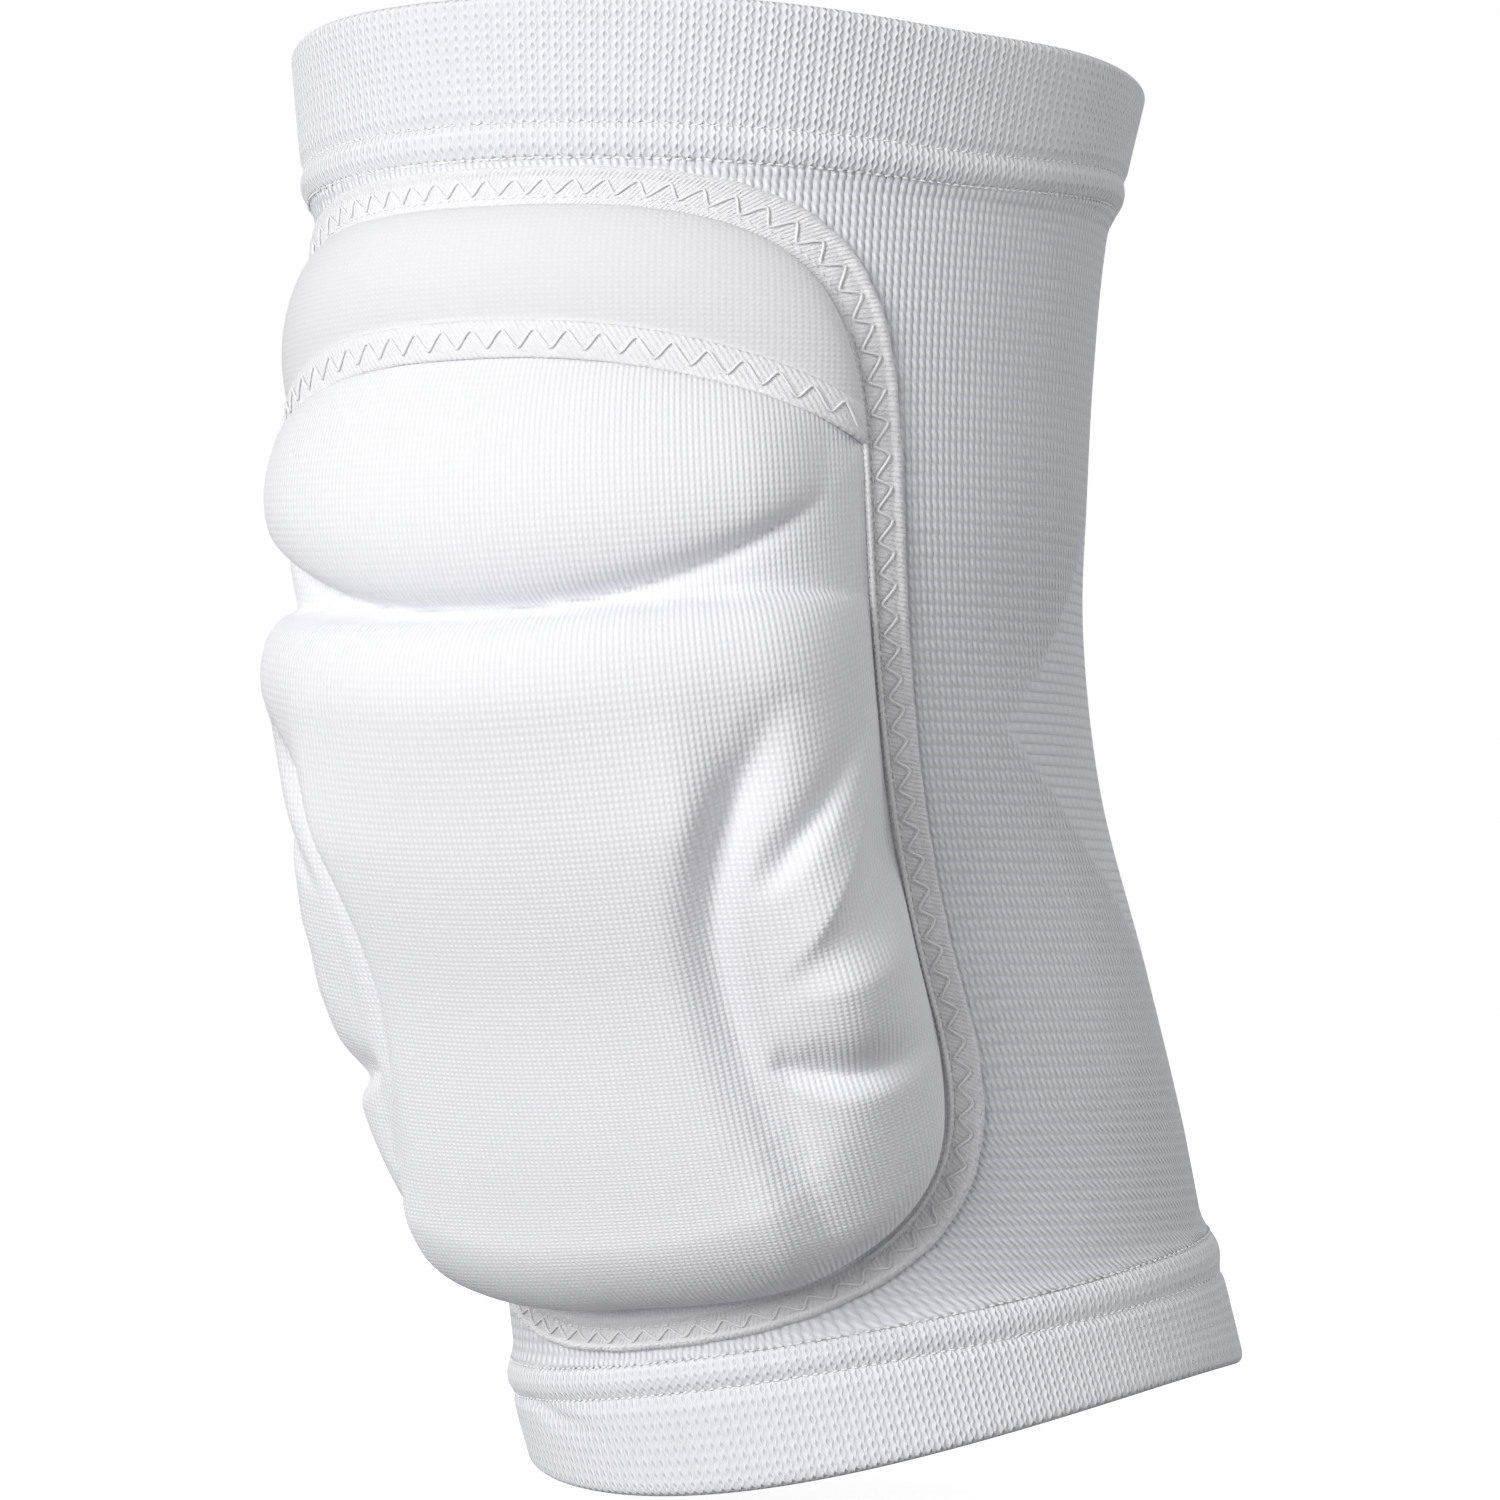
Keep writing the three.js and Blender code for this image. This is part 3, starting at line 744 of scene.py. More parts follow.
# separate short stitches along the path
stitchRow, given, out, curve = geometryGroup("stitchRow", [
    ("Pitch", "NodeSocketFloat", 0.0015),
    ("Length", "NodeSocketFloat", 0.001),
    ("Thickness", "NodeSocketFloat", 0.0003),
    ("Uneven", "NodeSocketFloat", 0.2),
    ("Seed", "NodeSocketInt", 4),
])
curve = resampled(stitchRow, curve, given["Pitch"])
grain = stitchRow.nodes.new("GeometryNodeMeshUVSphere")
grain.inputs["Segments"].default_value = 6
grain.inputs["Rings"].default_value = 5
grain.inputs["Radius"].default_value = 0.5
tangent = stitchRow.nodes.new("GeometryNodeInputTangent")
aim = stitchRow.nodes.new("FunctionNodeAlignRotationToVector")
aim.axis = "X"
stitchRow.links.new(tangent.outputs[0], aim.inputs["Vector"])
sway = stitchRow.nodes.new("FunctionNodeRandomValue")
sway.data_type = "FLOAT_VECTOR"
stitchRow.links.new(given["Seed"], sway.inputs["Seed"])
stitchRow.links.new(given["Uneven"], sway.inputs["Max"])
stitchRow.links.new(maths(stitchRow, "MULTIPLY", given["Uneven"], -1.0), sway.inputs["Min"])
turnBy = stitchRow.nodes.new("FunctionNodeEulerToRotation")
stitchRow.links.new(sway.outputs["Value"], turnBy.inputs["Euler"])
turnedAim = stitchRow.nodes.new("FunctionNodeRotateRotation")
stitchRow.links.new(aim.outputs["Rotation"], turnedAim.inputs["Rotation"])
stitchRow.links.new(turnBy.outputs["Rotation"], turnedAim.inputs["Rotate By"])
grainSize = stitchRow.nodes.new("ShaderNodeCombineXYZ")
stitchRow.links.new(given["Length"], grainSize.inputs[0])
stitchRow.links.new(given["Thickness"], grainSize.inputs[1])
stitchRow.links.new(given["Thickness"], grainSize.inputs[2])
placed = stitchRow.nodes.new("GeometryNodeInstanceOnPoints")
stitchRow.links.new(curve, placed.inputs["Points"])
stitchRow.links.new(grain.outputs["Mesh"], placed.inputs["Instance"])
stitchRow.links.new(turnedAim.outputs["Rotation"], placed.inputs["Rotation"])
stitchRow.links.new(grainSize.outputs[0], placed.inputs["Scale"])
finishGroup(stitchRow, given, out, placed.outputs["Instances"])

# a cord of three strands twisted along the path
twistedCord, given, out, curve = geometryGroup("twistedCord", [
    ("Radius", "NodeSocketFloat", 0.0003),
    ("Step", "NodeSocketFloat", 0.0003),
    ("Twist", "NodeSocketFloat", 0.5),
    ("Waist", "NodeSocketFloat", 0.6),
])
curve = resampled(twistedCord, curve, given["Step"])
index = twistedCord.nodes.new("GeometryNodeInputIndex")
tilted = twistedCord.nodes.new("GeometryNodeSetCurveTilt")
twistedCord.links.new(curve, tilted.inputs["Curve"])
plug(twistedCord, maths(twistedCord, "MULTIPLY", index.outputs[0], given["Twist"]), tilted.inputs["Tilt"])
star = twistedCord.nodes.new("GeometryNodeCurveStar")
star.inputs["Points"].default_value = 3
twistedCord.links.new(given["Radius"], star.inputs["Outer Radius"])
innerRadius = maths(twistedCord, "MULTIPLY", given["Radius"], given["Waist"])
twistedCord.links.new(innerRadius, star.inputs["Inner Radius"])
tube = twistedCord.nodes.new("GeometryNodeCurveToMesh")
twistedCord.links.new(tilted.outputs["Curve"], tube.inputs["Curve"])
twistedCord.links.new(star.outputs["Curve"], tube.inputs["Profile Curve"])
finishGroup(twistedCord, given, out, tube.outputs["Mesh"])
print("sewing groups built")


def dress(piece, material, slotName, *nodes):
    if not piece.data.materials:
        piece.data.materials.append(materials[material])
    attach(piece, "root")
    if nodes:
        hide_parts(*nodes)
    return piece


# Sleeve

sleeve = {
    "columns": 360,
    "outerRows": 160,
    "innerRows": 14,
    "wall": 2.0,
    "underTopRoll": 0.75,
    "overBottomRoll": 0.75,
    "hemReach": 1.7,
    # how the wales lean where the calf widens: between these degrees from the front, easing in downwards
    "shearBelow": -48.0,
    "shear": 0.45,
    "shearEase": 8.0,
    "shearFront": (15, 55),
    "shearBack": (100, 160),
}
pucker = {
    "steps": 900,
    "band": 22.0,
    "start": 0.8,
    "reach": 4.0,
    "depth": 0.3,
    "pitch": 3.1,
    "unevenShare": 0.4,
    "unevenReach": 11.0,
    "waver": 0.8,
    "waverReach": 7.0,
    "block": 4000,
}


def sleeveRelief(angle, height):
    # small radial puckers where the tape draws the knit in
    turns, length = evenTurns(pucker["steps"], 0)
    routeAngle, routeHeight = routeAt(turns, 0)
    routeX = routeAngle * leg["width"] / 2
    flatX = np.where(angle > math.pi, angle - 2 * math.pi, angle) * leg["width"] / 2
    relief = np.zeros(angle.shape)
    near = np.abs(flatX) < pad["width"] / 2 + pucker["band"]
    x = flatX[near]
    z = height[near]
    away = np.empty(x.shape)
    spot = np.empty(x.shape)
    for start in range(0, len(x), pucker["block"]):
        block = slice(start, start + pucker["block"])
        gaps = np.hypot(x[block, None] - routeX[None], z[block, None] - routeHeight[None])
        nearest = gaps.argmin(axis=1)
        away[block] = gaps[np.arange(len(nearest)), nearest]
        spot[block] = nearest * length / len(routeX)
    fade = np.exp(-away / pucker["reach"]) * np.clip(away / pucker["start"], 0, 1)
    share = pucker["unevenShare"]
    uneven = 1 - share + share * np.sin(spot / pucker["unevenReach"] + 1.0)
    waver = pucker["waver"] * np.sin(spot / pucker["waverReach"])
    wave = np.sin(2 * math.pi * spot / pucker["pitch"] + waver)
    relief[near] = pucker["depth"] * fade * uneven * wave
    return relief


def buildSleeve():
    low = bottomWeltTop - edge["touch"]
    high = topWeltBottom + edge["touch"]
    angle = 2 * math.pi * np.arange(sleeve["columns"]) / sleeve["columns"]
    inner = np.linspace(low, high, sleeve["innerRows"])
    outer = np.linspace(high, low, sleeve["outerRows"])
    heights = np.concatenate([inner, outer])
    lifts = np.concatenate([np.full(len(inner), -sleeve["wall"]), np.zeros(len(outer))])
    angle, height = np.meshgrid(angle, heights, indexing="ij")
    lift = np.broadcast_to(lifts, height.shape).copy()
    outside = slice(len(inner), None)
    underTop = np.exp(-(((high - height[:, outside]) / sleeve["hemReach"]) ** 2))
    overBottom = np.exp(-(((height[:, outside] - low) / sleeve["hemReach"]) ** 2))
    lift[:, outside] += sleeveRelief(angle[:, outside], height[:, outside])
    lift[:, outside] += sleeve["underTopRoll"] * underTop
    lift[:, outside] += sleeve["overBottomRoll"] * overBottom
    points = legPoint(angle, climbed(angle, height), lift)
    turned = np.degrees((angle + math.pi) % (2 * math.pi) - math.pi)
    window = smoothStep(np.abs(turned), *sleeve["shearFront"])
    window = window * (1 - smoothStep(np.abs(turned), *sleeve["shearBack"]))
    drop = np.maximum(sleeve["shearBelow"] - height, 0)
    drop = drop ** 2 / (drop + sleeve["shearEase"])
    wales = sleeveKnit["wales"]
    shift = -np.sign(turned) * window * sleeve["shear"] * drop * wales / (math.pi * leg["width"])
    courses = points[..., 2] / sleeveKnit["course"]
    return bandPiece("knitSleeve", points, wales, courses, shift)


dress(buildSleeve(), "sleeveKnit", "white_knit", "sleeve")
print("sleeve built")

# Cuffs and rolled hems, with their ribs in the mesh

ribs = {
    "count": 217,
    "perRib": 6,
    "depth": 0.05,
    "power": 2.2,
    "course": 1.55,
}
cuff = {
    "insideRows": 6,
    "foldRows": 9,
    "topRows": 10,
    "bottomRows": 9,
    # closer rows in the stretch beside the seam
    "seamRows": 8,
    "seamStretch": 2.4,
    # the ribs are flatter inside the cuff
    "insideRibs": 0.5,
}
hem = {
    "rows": 15,
    "seamLift": 1.0,
    "seamReach": 1.1,
    "rollLift": 1.75,
    "rollPower": 0.85,
    "sleeveSide": 0.75,
    "ribs": 0.5,
}
# the slow unevenness of a soft band: depth, waves round the leg, where they start, and height of a wave
sag = [(0.16, 3, 0.6, 17), (0.1, 7, -1.1, 9)]
# a soft wrinkle in the bottom cuff, from one end to the other in degrees and height
wrinkle = {
    "start": (-41.0, -85.4),
    "end": (-16.0, -90.0),
    "depth": 0.7,
    "width": 1.1,
}


def ribWave(columns):
    turn = np.arange(columns) / ribs["perRib"]
    away = np.abs(turn % 1 - 0.5) * 2
    return 1 - away ** ribs["power"]


def clothSag(angle, height):
    slow = sum(depth * np.sin(waves * angle + start + height / rise) for depth, waves, start, rise in sag)
    x0 = math.radians(wrinkle["start"][0]) * leg["width"] / 2
    x1 = math.radians(wrinkle["end"][0]) * leg["width"] / 2
    z0 = wrinkle["start"][1]
    z1 = wrinkle["end"][1]
    across = ((angle + math.pi) % (2 * math.pi) - math.pi) * leg["width"] / 2
    place = ((across - x0) * (x1 - x0) + (height - z0) * (z1 - z0)) / ((x1 - x0) ** 2 + (z1 - z0) ** 2)
    place = np.clip(place, 0, 1)
    gone = np.hypot(across - x0 - place * (x1 - x0), height - z0 - place * (z1 - z0)) / wrinkle["width"]
    depth = wrinkle["depth"] * np.sin(math.pi * np.clip(place, 0.05, 0.95))
    return slow - depth * np.exp(-(gone ** 2))


def ribbedBand(name, heights, lifts, saddles, ribShare, material, *nodes):
    columns = ribs["count"] * ribs["perRib"]
    angle = 2 * math.pi * np.arange(columns) / columns
    angle, height = np.meshgrid(angle, heights, indexing="ij")
    lift = lifts[None] + (ribWave(columns)[:, None] - 1) * ribs["depth"] * ribShare[None]
    lift = lift + clothSag(angle, height) * (lifts[None] > 0)
    points = legPoint(angle, climbed(angle, height), lift, saddles[None])
    steps = np.hypot(np.diff(np.append(heights, heights[0])), np.diff(np.append(lifts, lifts[0])))
    courses = -np.concatenate([[0], np.cumsum(steps)]) / ribs["course"]
    piece = bandPiece(name, points, ribs["count"], courses)
    return dress(piece, material, "white_knit", *nodes)


def seamDip(away):
    return (edge["cuffWall"] / 2 - hem["seamLift"]) * np.exp(-((away / hem["seamReach"]) ** 2))


def topCuff():
    # up the inside, over the fold at the rim and down the outside
    wall = edge["cuffWall"]
    seam = topWeltTop - edge["touch"]
    nearSeam = seam + cuff["seamStretch"]
    fold = topRim - wall * 0.5
    turn = np.linspace(0, math.pi, cuff["foldRows"] + 2)[1:-1]
    inside = np.linspace(seam, fold, cuff["insideRows"])
    outside = np.linspace(fold, nearSeam, cuff["topRows"] + 1)[:-1]
    outside = np.concatenate([outside, np.linspace(nearSeam, seam, cuff["seamRows"])])
    insideLift = np.full(len(inside), -wall / 2)
    insideShare = np.full(len(inside), cuff["insideRibs"])
    foldShare = np.linspace(cuff["insideRibs"], 1, len(turn))
    heights = np.concatenate([inside, fold + np.sin(turn) * wall * 0.5, outside])
    lifts = np.concatenate([insideLift, -np.cos(turn) * wall / 2, wall / 2 - seamDip(outside - seam)])
    share = np.concatenate([insideShare, foldShare, np.ones(len(outside))])
    return ribbedBand("topCuffKnit", heights, lifts, np.zeros(len(heights)), share, "cuffKnit", "top_cuff")


def bottomCuff():
    # up the inside, down the outside and under the fold at the rim
    wall = edge["cuffWall"]
    high = bottomWeltBottom + edge["touch"]
    nearSeam = high - cuff["seamStretch"]
    fold = bottomRim + wall * 0.5
    turn = np.linspace(0, math.pi, cuff["foldRows"] + 2)[1:-1]
    inside = np.linspace(fold, high, cuff["insideRows"])
    outside = np.linspace(nearSeam, fold, cuff["bottomRows"] + 1)[1:]
    outside = np.concatenate([np.linspace(high, nearSeam, cuff["seamRows"]), outside])
    insideLift = np.full(len(inside), -wall / 2)
    insideShare = np.full(len(inside), cuff["insideRibs"])
    foldShare = np.linspace(1, cuff["insideRibs"], len(turn))
    heights = np.concatenate([inside, outside, fold - np.sin(turn) * wall * 0.5])
    lifts = np.concatenate([insideLift, wall / 2 - seamDip(high - outside), np.cos(turn) * wall / 2])
    share = np.concatenate([insideShare, np.ones(len(outside)), foldShare])
    saddles = -edge["rimSaddle"] * np.clip((high - heights) / (high - bottomRim - wall), 0, 1)
    return ribbedBand("bottomCuffKnit", heights, lifts, saddles, share, "cuffKnit", "bottom_cuff")


def hemRoll(name, cuffEdge, sleeveEdge, node):
    inside = -edge["cuffWall"] / 2
    turn = np.linspace(0, 1, hem["rows"])
    over = edge["touch"] * np.sign(cuffEdge - sleeveEdge)
    outer = cuffEdge + over + (sleeveEdge - cuffEdge - 2 * over) * turn
    ends = hem["seamLift"] + (hem["sleeveSide"] - hem["seamLift"]) * turn
    bulge = np.sin(math.pi * turn) ** hem["rollPower"]
    lifts = ends + (hem["rollLift"] - ends) * bulge
    if cuffEdge > sleeveEdge:
        heights = np.concatenate([[outer[-1], outer[0]], outer])
        lifts = np.concatenate([[inside, inside], lifts])
    else:
        heights = np.concatenate([[outer[0], outer[-1]], outer[::-1]])
        lifts = np.concatenate([[inside, inside], lifts[::-1]])
    share = np.full(len(heights), hem["ribs"])
    return ribbedBand(name, heights, lifts, np.zeros(len(heights)), share, "cuffKnit", node)


topCuff()
bottomCuff()
hemRoll("topHemRollKnit", topWeltTop, topWeltBottom, "top_hem_roll")
hemRoll("bottomHemRollKnit", bottomWeltBottom, bottomWeltTop, "bottom_hem_roll")

hemStitch = {
    "pitch": 1.45,
    "length": 1.05,
    "thickness": 0.34,
    "uneven": 0.2,
    "seed": 7,
    "points": 720,
    # height and lift of each row round the leg
    "rows": [
        (topWeltTop, 1.08),
        (topWeltBottom - 0.2, 0.82),
        (bottomWeltTop + 0.2, 0.82),
        (bottomWeltBottom, 1.08),
    ],
}


def hemPath(height, lift):
    angle = 2 * math.pi * np.arange(hemStitch["points"]) / hemStitch["points"]
    return legPoint(angle, climbed(angle, height), lift + clothSag(angle, height)), True


def sewnRows(name, runs, stitch):
    rows = grown(threadPath(name, runs), stitchRow, Pitch=stitch["pitch"] * millimetre,
                 Length=stitch["length"] * millimetre, Thickness=stitch["thickness"] * millimetre,
                 Uneven=stitch["uneven"], Seed=stitch["seed"], Thread=materials["whiteThread"])
    return dress(rows, "whiteThread", "")


sewnRows("hemStitches", [hemPath(height, lift) for height, lift in hemStitch["rows"]], hemStitch)
print("cuffs and hems built")

# Foam pad under its cover

foam = {
    "columns": 200,
    "rows": 212,
    "reach": 0.992,
    "rowEase": 0.35,
    "least": 0.3,
    # the crescent, the crease below it and the valley that both stand in
    "creaseMiddle": 0.695,
    "creaseWidth": 1.3,
    "creaseSink": 0.2,
    "valleyCrease": 0.4,
    "valleyTop": 0.28,
    "valleySides": 0.2,
    "bodyShoulder": 0.5,
    "bodyDroop": 0.02,
    "bodyDroopPower": 6,
    "crescentArch": 0.083,
    "crescentArchPower": 2.4,
    "crescentSwell": 0.33,
    "crescentTip": 0.87,
    "crescentTipPower": 5,
    "crescentLow": 0.75,
    "crescentRound": 0.7,
    # the wings beside the long lobe; the left one stands lower
    "wingMiddle": 0.44,
    "wingBelow": -0.01,
    "wingUp": 0.43,
    "wingReach": 0.11,
    "wingSpan": (0.48, 0.78),
    "leftWing": 0.62,
    # the long lobe is filled out towards its edges, so that its front is flat, and less near its top
    "flatFront": 0.8,
    "flatSpan": (0.45, 0.57),
    "flatFade": (8, 26),
    # the bare ledge between the foam and the tape below, which narrows over these degrees on the right
    "ledge": 5.0,
    "ledgeRight": 3.6,
    "ledgeSpan": (0, 32),
    "lowerPower": 2.3,
    "sideReach": 16.0,
    "sidePower": 1.08,
    "endSpan": (0.2, 0.75),
    "overhang": 2.0,
    "overhangSpan": (0.05, 0.45),
    "overhangSide": 0.4,
}
# moulded grooves on the right half: degrees from the middle, height, depth and width, mirrored on the left;
# above and below say how far a groove's slopes reach, and leftShare how deep its mirrored copy is
foamGrooves = [
    {"above": 1.0, "below": 1.0, "leftShare": 1.0, "rows": [
        (40.5, 22.5, 0.1, 2.2), (36.6, 18.6, 1.3, 2.3), (32.8, 13.6, 3.1, 2.3), (29.1, 7.6, 4.3, 2.4),
        (26.9, 0, 4.5, 2.5), (26, -8, 4.4, 2.6), (26.2, -18, 4.3, 2.7), (27, -26.9, 3.6, 3.0),
        (28.2, -39.6, 2.4, 3.6), (30, -49.3, 1.0, 4.2), (32, -56, 0.2, 4.4)]},
    {"above": 1.2, "below": 0.7, "leftShare": 0.4, "rows": [
        (33.2, 1.2, 0.5, 1.6), (36.8, 4.8, 2.1, 1.7), (41.0, 8.6, 2.8, 1.8), (45.6, 12.3, 2.3, 2.0),
        (50.0, 15.6, 1.2, 2.2), (53.2, 18.2, 0.4, 2.4), (55.0, 19.8, 0.1, 2.8)]},
    {"above": 1.8, "below": 0.9, "leftShare": 0.85, "rows": [
        (28.4, -22.5, 1.0, 2.2), (31.4, -25.6, 2.1, 2.3), (34.4, -27.1, 2.9, 2.4), (38.6, -28.8, 3.3, 2.5),
        (43.9, -29.5, 3.3, 2.6), (50, -30, 3.4, 2.6), (55, -30.4, 3.4, 2.6)]},
]
grooveShape = {
    "steps": 60,
    "core": 0.8,
    "skirt": 0.2,
    "skirtFall": 2.0,
}
# the flat flank that falls away to the side between its two creases; the left one is slighter
flank = {
    "angle": 31.8,
    "height": -12.8,
    "upperSlope": 55.0,
    "lowerSlope": 3.0,
    "depth": 36.0,
    "reach": 14.0,
    "lowerFrom": -2.5,
    "lowerTo": 12.0,
    "softness": 0.5,
    "leftShare": 0.15,
}


def roundShoulder(inward, reach):
    x = np.clip(inward / reach, 0, 1)
    return np.sqrt(1 - (1 - x) ** 2)


def softPath(rows):
    rows = np.array(rows, dtype=float)
    steps = np.hypot(np.diff(rows[:, 0]), np.diff(rows[:, 1]))
    along = np.concatenate([[0], np.cumsum(steps)])
    fine = np.linspace(0, along[-1], grooveShape["steps"])
    return np.stack([smoothCurve(along, rows[:, k].copy())(fine) for k in range(4)], axis=-1)


def grooveSink(angle, height):
    across = np.degrees(np.abs(angle)) * math.radians(1) * leg["width"] / 2
    deepest = np.zeros(angle.shape)
    for groove in foamGrooves:
        path = softPath(groove["rows"])
        path[:, 0] *= math.radians(1) * leg["width"] / 2
        best = np.full(angle.shape, 1e9)
        sink = np.zeros(angle.shape)
        for x, z, depth, width in path:
            spread = width * np.where(height > z, groove["above"], groove["below"])
            away = np.hypot(across - x, height - z) / spread
            core = grooveShape["core"] * np.exp(-(away ** 2))
            skirt = grooveShape["skirt"] * np.exp(-away * grooveShape["skirtFall"])
            closer = away < best
            best = np.where(closer, away, best)
            sink = np.where(closer, depth * (core + skirt), sink)
        deepest = np.maximum(deepest, sink * np.where(angle > 0, 1, groove["leftShare"]))
    return deepest + flankSink(across, height) * np.where(angle > 0, 1, flank["leftShare"])


def flankSink(across, height):
    steep = math.radians(flank["upperSlope"])
    low = math.radians(flank["lowerSlope"])
    x = across - math.radians(flank["angle"]) * leg["width"] / 2
    z = height - flank["height"]
    under = x * math.sin(steep) - z * math.cos(steep)
    over = z * math.cos(low) - x * math.sin(low)
    under = np.maximum(under, 0)
    drop = flank["depth"] * (1 - np.exp(-(under ** 2) / (under + flank["softness"]) / flank["reach"]))
    return drop * smoothStep(over, flank["lowerFrom"], flank["lowerTo"])


def creaseAt(share):
    middle = padBottom + foam["creaseMiddle"] * pad["height"]
    crescentBottom = middle + foam["crescentArch"] * pad["height"] * share ** foam["crescentArchPower"]
    bodyTop = middle - foam["bodyDroop"] * pad["height"] * share ** foam["bodyDroopPower"]
    return crescentBottom, bodyTop


def crescentAndValley(share, height):
    crescentBottom = creaseAt(share)[0]
    high = crossTapeBottom(share)
    place = np.clip((height - crescentBottom) / (high - crescentBottom), 0, 1)
    taper = np.clip(1 - (share / foam["crescentTip"]) ** foam["crescentTipPower"], 0, 1)
    crescent = np.sin(math.pi * place ** foam["crescentLow"]) ** foam["crescentRound"] * taper
    creaseGap = (height - crescentBottom) / foam["creaseWidth"]
    crescent = crescent - foam["creaseSink"] * np.exp(-(creaseGap ** 2)) * taper ** 0.5
    valley = foam["valleyCrease"] + (foam["valleyTop"] - foam["valleyCrease"]) * place
    return crescent, valley + foam["valleySides"] * share ** 2


def wingRise(angle, share, height):
    place = (height - padBottom - foam["wingUp"] * pad["height"]) / (foam["wingReach"] * pad["height"])
    wing = foam["wingMiddle"] * np.exp(-(place ** 2)) + foam["wingBelow"]
    wing = wing * smoothStep(share, *foam["wingSpan"]) * np.where(angle > 0, 1, foam["leftWing"])
    front = foam["flatFront"] * share ** 2 * (1 - smoothStep(share, *foam["flatSpan"]))
    return wing + front * (1 - smoothStep(height, *foam["flatFade"]))


def padEdge(angle, share, height):
    # 0 at the foam's outline and 1 inside it, with a round lower end and softer sides
    ledge = foam["ledge"] - foam["ledgeRight"] * smoothStep(np.degrees(angle), *foam["ledgeSpan"])
    foamDrop = lowerSide - padBottom - coverInset - ledge
    below = np.maximum(lowerSide - height, 0) / foamDrop
    power = foam["lowerPower"]
    reach = (share ** power + below ** power) ** (1 / power)
    inward = np.maximum(1 - reach, 0) * halfArc
    sideRise = np.sin(math.pi / 2 * np.clip(inward / foam["sideReach"], 0, 1)) ** foam["sidePower"]
    endRise = roundShoulder(inward, pad["foamThickness"])
    return sideRise + (endRise - sideRise) * smoothStep(below, *foam["endSpan"]), below


def padLift(angle, share, height):
    thick = pad["foamThickness"]
    body = roundShoulder(creaseAt(share)[1] - height, thick * foam["bodyShoulder"])
    crescent, valley = crescentAndValley(share, height)
    wing = wingRise(angle, share, height)
    lift = thick * (valley + (1 + wing - valley) * body + foam["crescentSwell"] * crescent)
    return np.maximum(lift - grooveSink(angle, height), thick * foam["least"])


def foamPoints(angle, height):
    share = np.minimum(np.abs(angle) / coverAngle, 1)
    rise, below = padEdge(angle, share, height)
    lift = pad["coverThickness"] + edge["clearance"] + padLift(angle, share, height) * rise
    # the foam bulges out over its own edge below
    push = foam["overhang"] * 4 * rise * (1 - rise) * smoothStep(below, *foam["overhangSpan"])
    power = foam["lowerPower"] - 1
    sideways = share ** power
    down = below ** power
    size = np.maximum(np.hypot(sideways, down), 1e-6)
    moved = angle + np.sign(angle) * push * foam["overhangSide"] * sideways / size * 2 / leg["width"]
    return legPoint(moved, height - push * down / size, lift)


def buildFoam():
    share = sheetShares(foam["columns"], foam["reach"])
    share, v = np.meshgrid(share, np.linspace(0, 1, foam["rows"]), indexing="ij")
    low = outlineBottom(share, coverInset)
    high = np.minimum(crossTapeBottom(share) - edge["touch"], outlineTop(share, coverInset))
    ease = foam["rowEase"]
    height = low + (high - low) * (ease * (1 - np.cos(v * math.pi)) / 2 + (1 - ease) * v)
    angle = share * coverAngle
    outer = foamPoints(angle, height)
    inner = legPoint(angle, height, edge["clearance"])
    return sheetPiece("foamPadCover", outer, inner, angle * leg["width"] / 2, height)


foamPad = dress(buildFoam(), "coverKnit", "pad_cover", "foam_pad")
print("foam pad built")

# Upper panel and the tape across

panel = {
    "columns": 200,
    "rows": 70,
    "reach": 0.985,
    "swell": 0.3,
    "swellTurn": 0.72,
    "swellPower": 0.55,
    "sidePower": 14,
}


def panelLift(share, height):
    low = crossTapeTop(share)
    high = outlineTop(share, coverInset)
    drop = np.clip((high - height) / np.maximum(high - low, 0.01), 0, 1)
    swell = np.sin(panel["swellTurn"] * math.pi * drop) ** panel["swellPower"]
    swell = swell * (1 - np.abs(share) ** panel["sidePower"])
    return edge["clearance"] + pad["panelThickness"] + pad["foamThickness"] * panel["swell"] * swell


def buildPanel():
    share = sheetShares(panel["columns"], panel["reach"])
    share, v = np.meshgrid(share, np.linspace(0, 1, panel["rows"]), indexing="ij")
    low = crossTapeTop(share) + edge["touch"]
    high = outlineTop(share, coverInset)
    height = low + (high - low) * v
    angle = share * coverAngle
    outer = legPoint(angle, height, panelLift(share, height))
    inner = legPoint(angle, height, edge["clearance"])
    return sheetPiece("upperPanelCloth", outer, inner, angle * leg["width"] / 2, height)


upperPanel = dress(buildPanel(), "panelTricot", "smooth_panel", "upper_panel")


# the zigzag thread sewn down the middle of each tape, and how it draws the tape in
zigzag = {
    "pitch": 4.6,
    "reach": 1.0,
    "roundness": 0.75,
    "radius": 0.19,
    "over": 0.17,
    "drawDepth": 0.13,
    "drawWidth": 0.5,
    # at each tip the thread goes down into the tape
    "dip": 0.08,
    "dipPower": 6,
    "steps": 12,
    "crossSteps": 15,
    "crossTighter": 1.22,
    "crossReach": 0.97,
}
crossTape = {
    "columns": 460,
    "rows": 14,
    "overPanel": 0.1,
    "crown": 0.75,
    "crownPower": 0.35,
    "crownInset": 0.03,
    "sewnHalf": 0.45,
}


def zigzagWave(along):
    turn = along / zigzag["pitch"]
    wave = 1 - 4 * np.abs(turn - np.floor(turn) - 0.5)
    quarter = math.pi / 2
    return np.sin(wave * quarter * zigzag["roundness"]) / math.sin(quarter * zigzag["roundness"])


def zigzagOver(wave):
    return zigzag["over"] - zigzag["dip"] * np.abs(wave) ** zigzag["dipPower"]


def drawnIn(across, along, middle):
    gone = (across - middle - zigzag["reach"] * zigzagWave(along)) / zigzag["drawWidth"]
    return -zigzag["drawDepth"] * np.exp(-(gone ** 2))


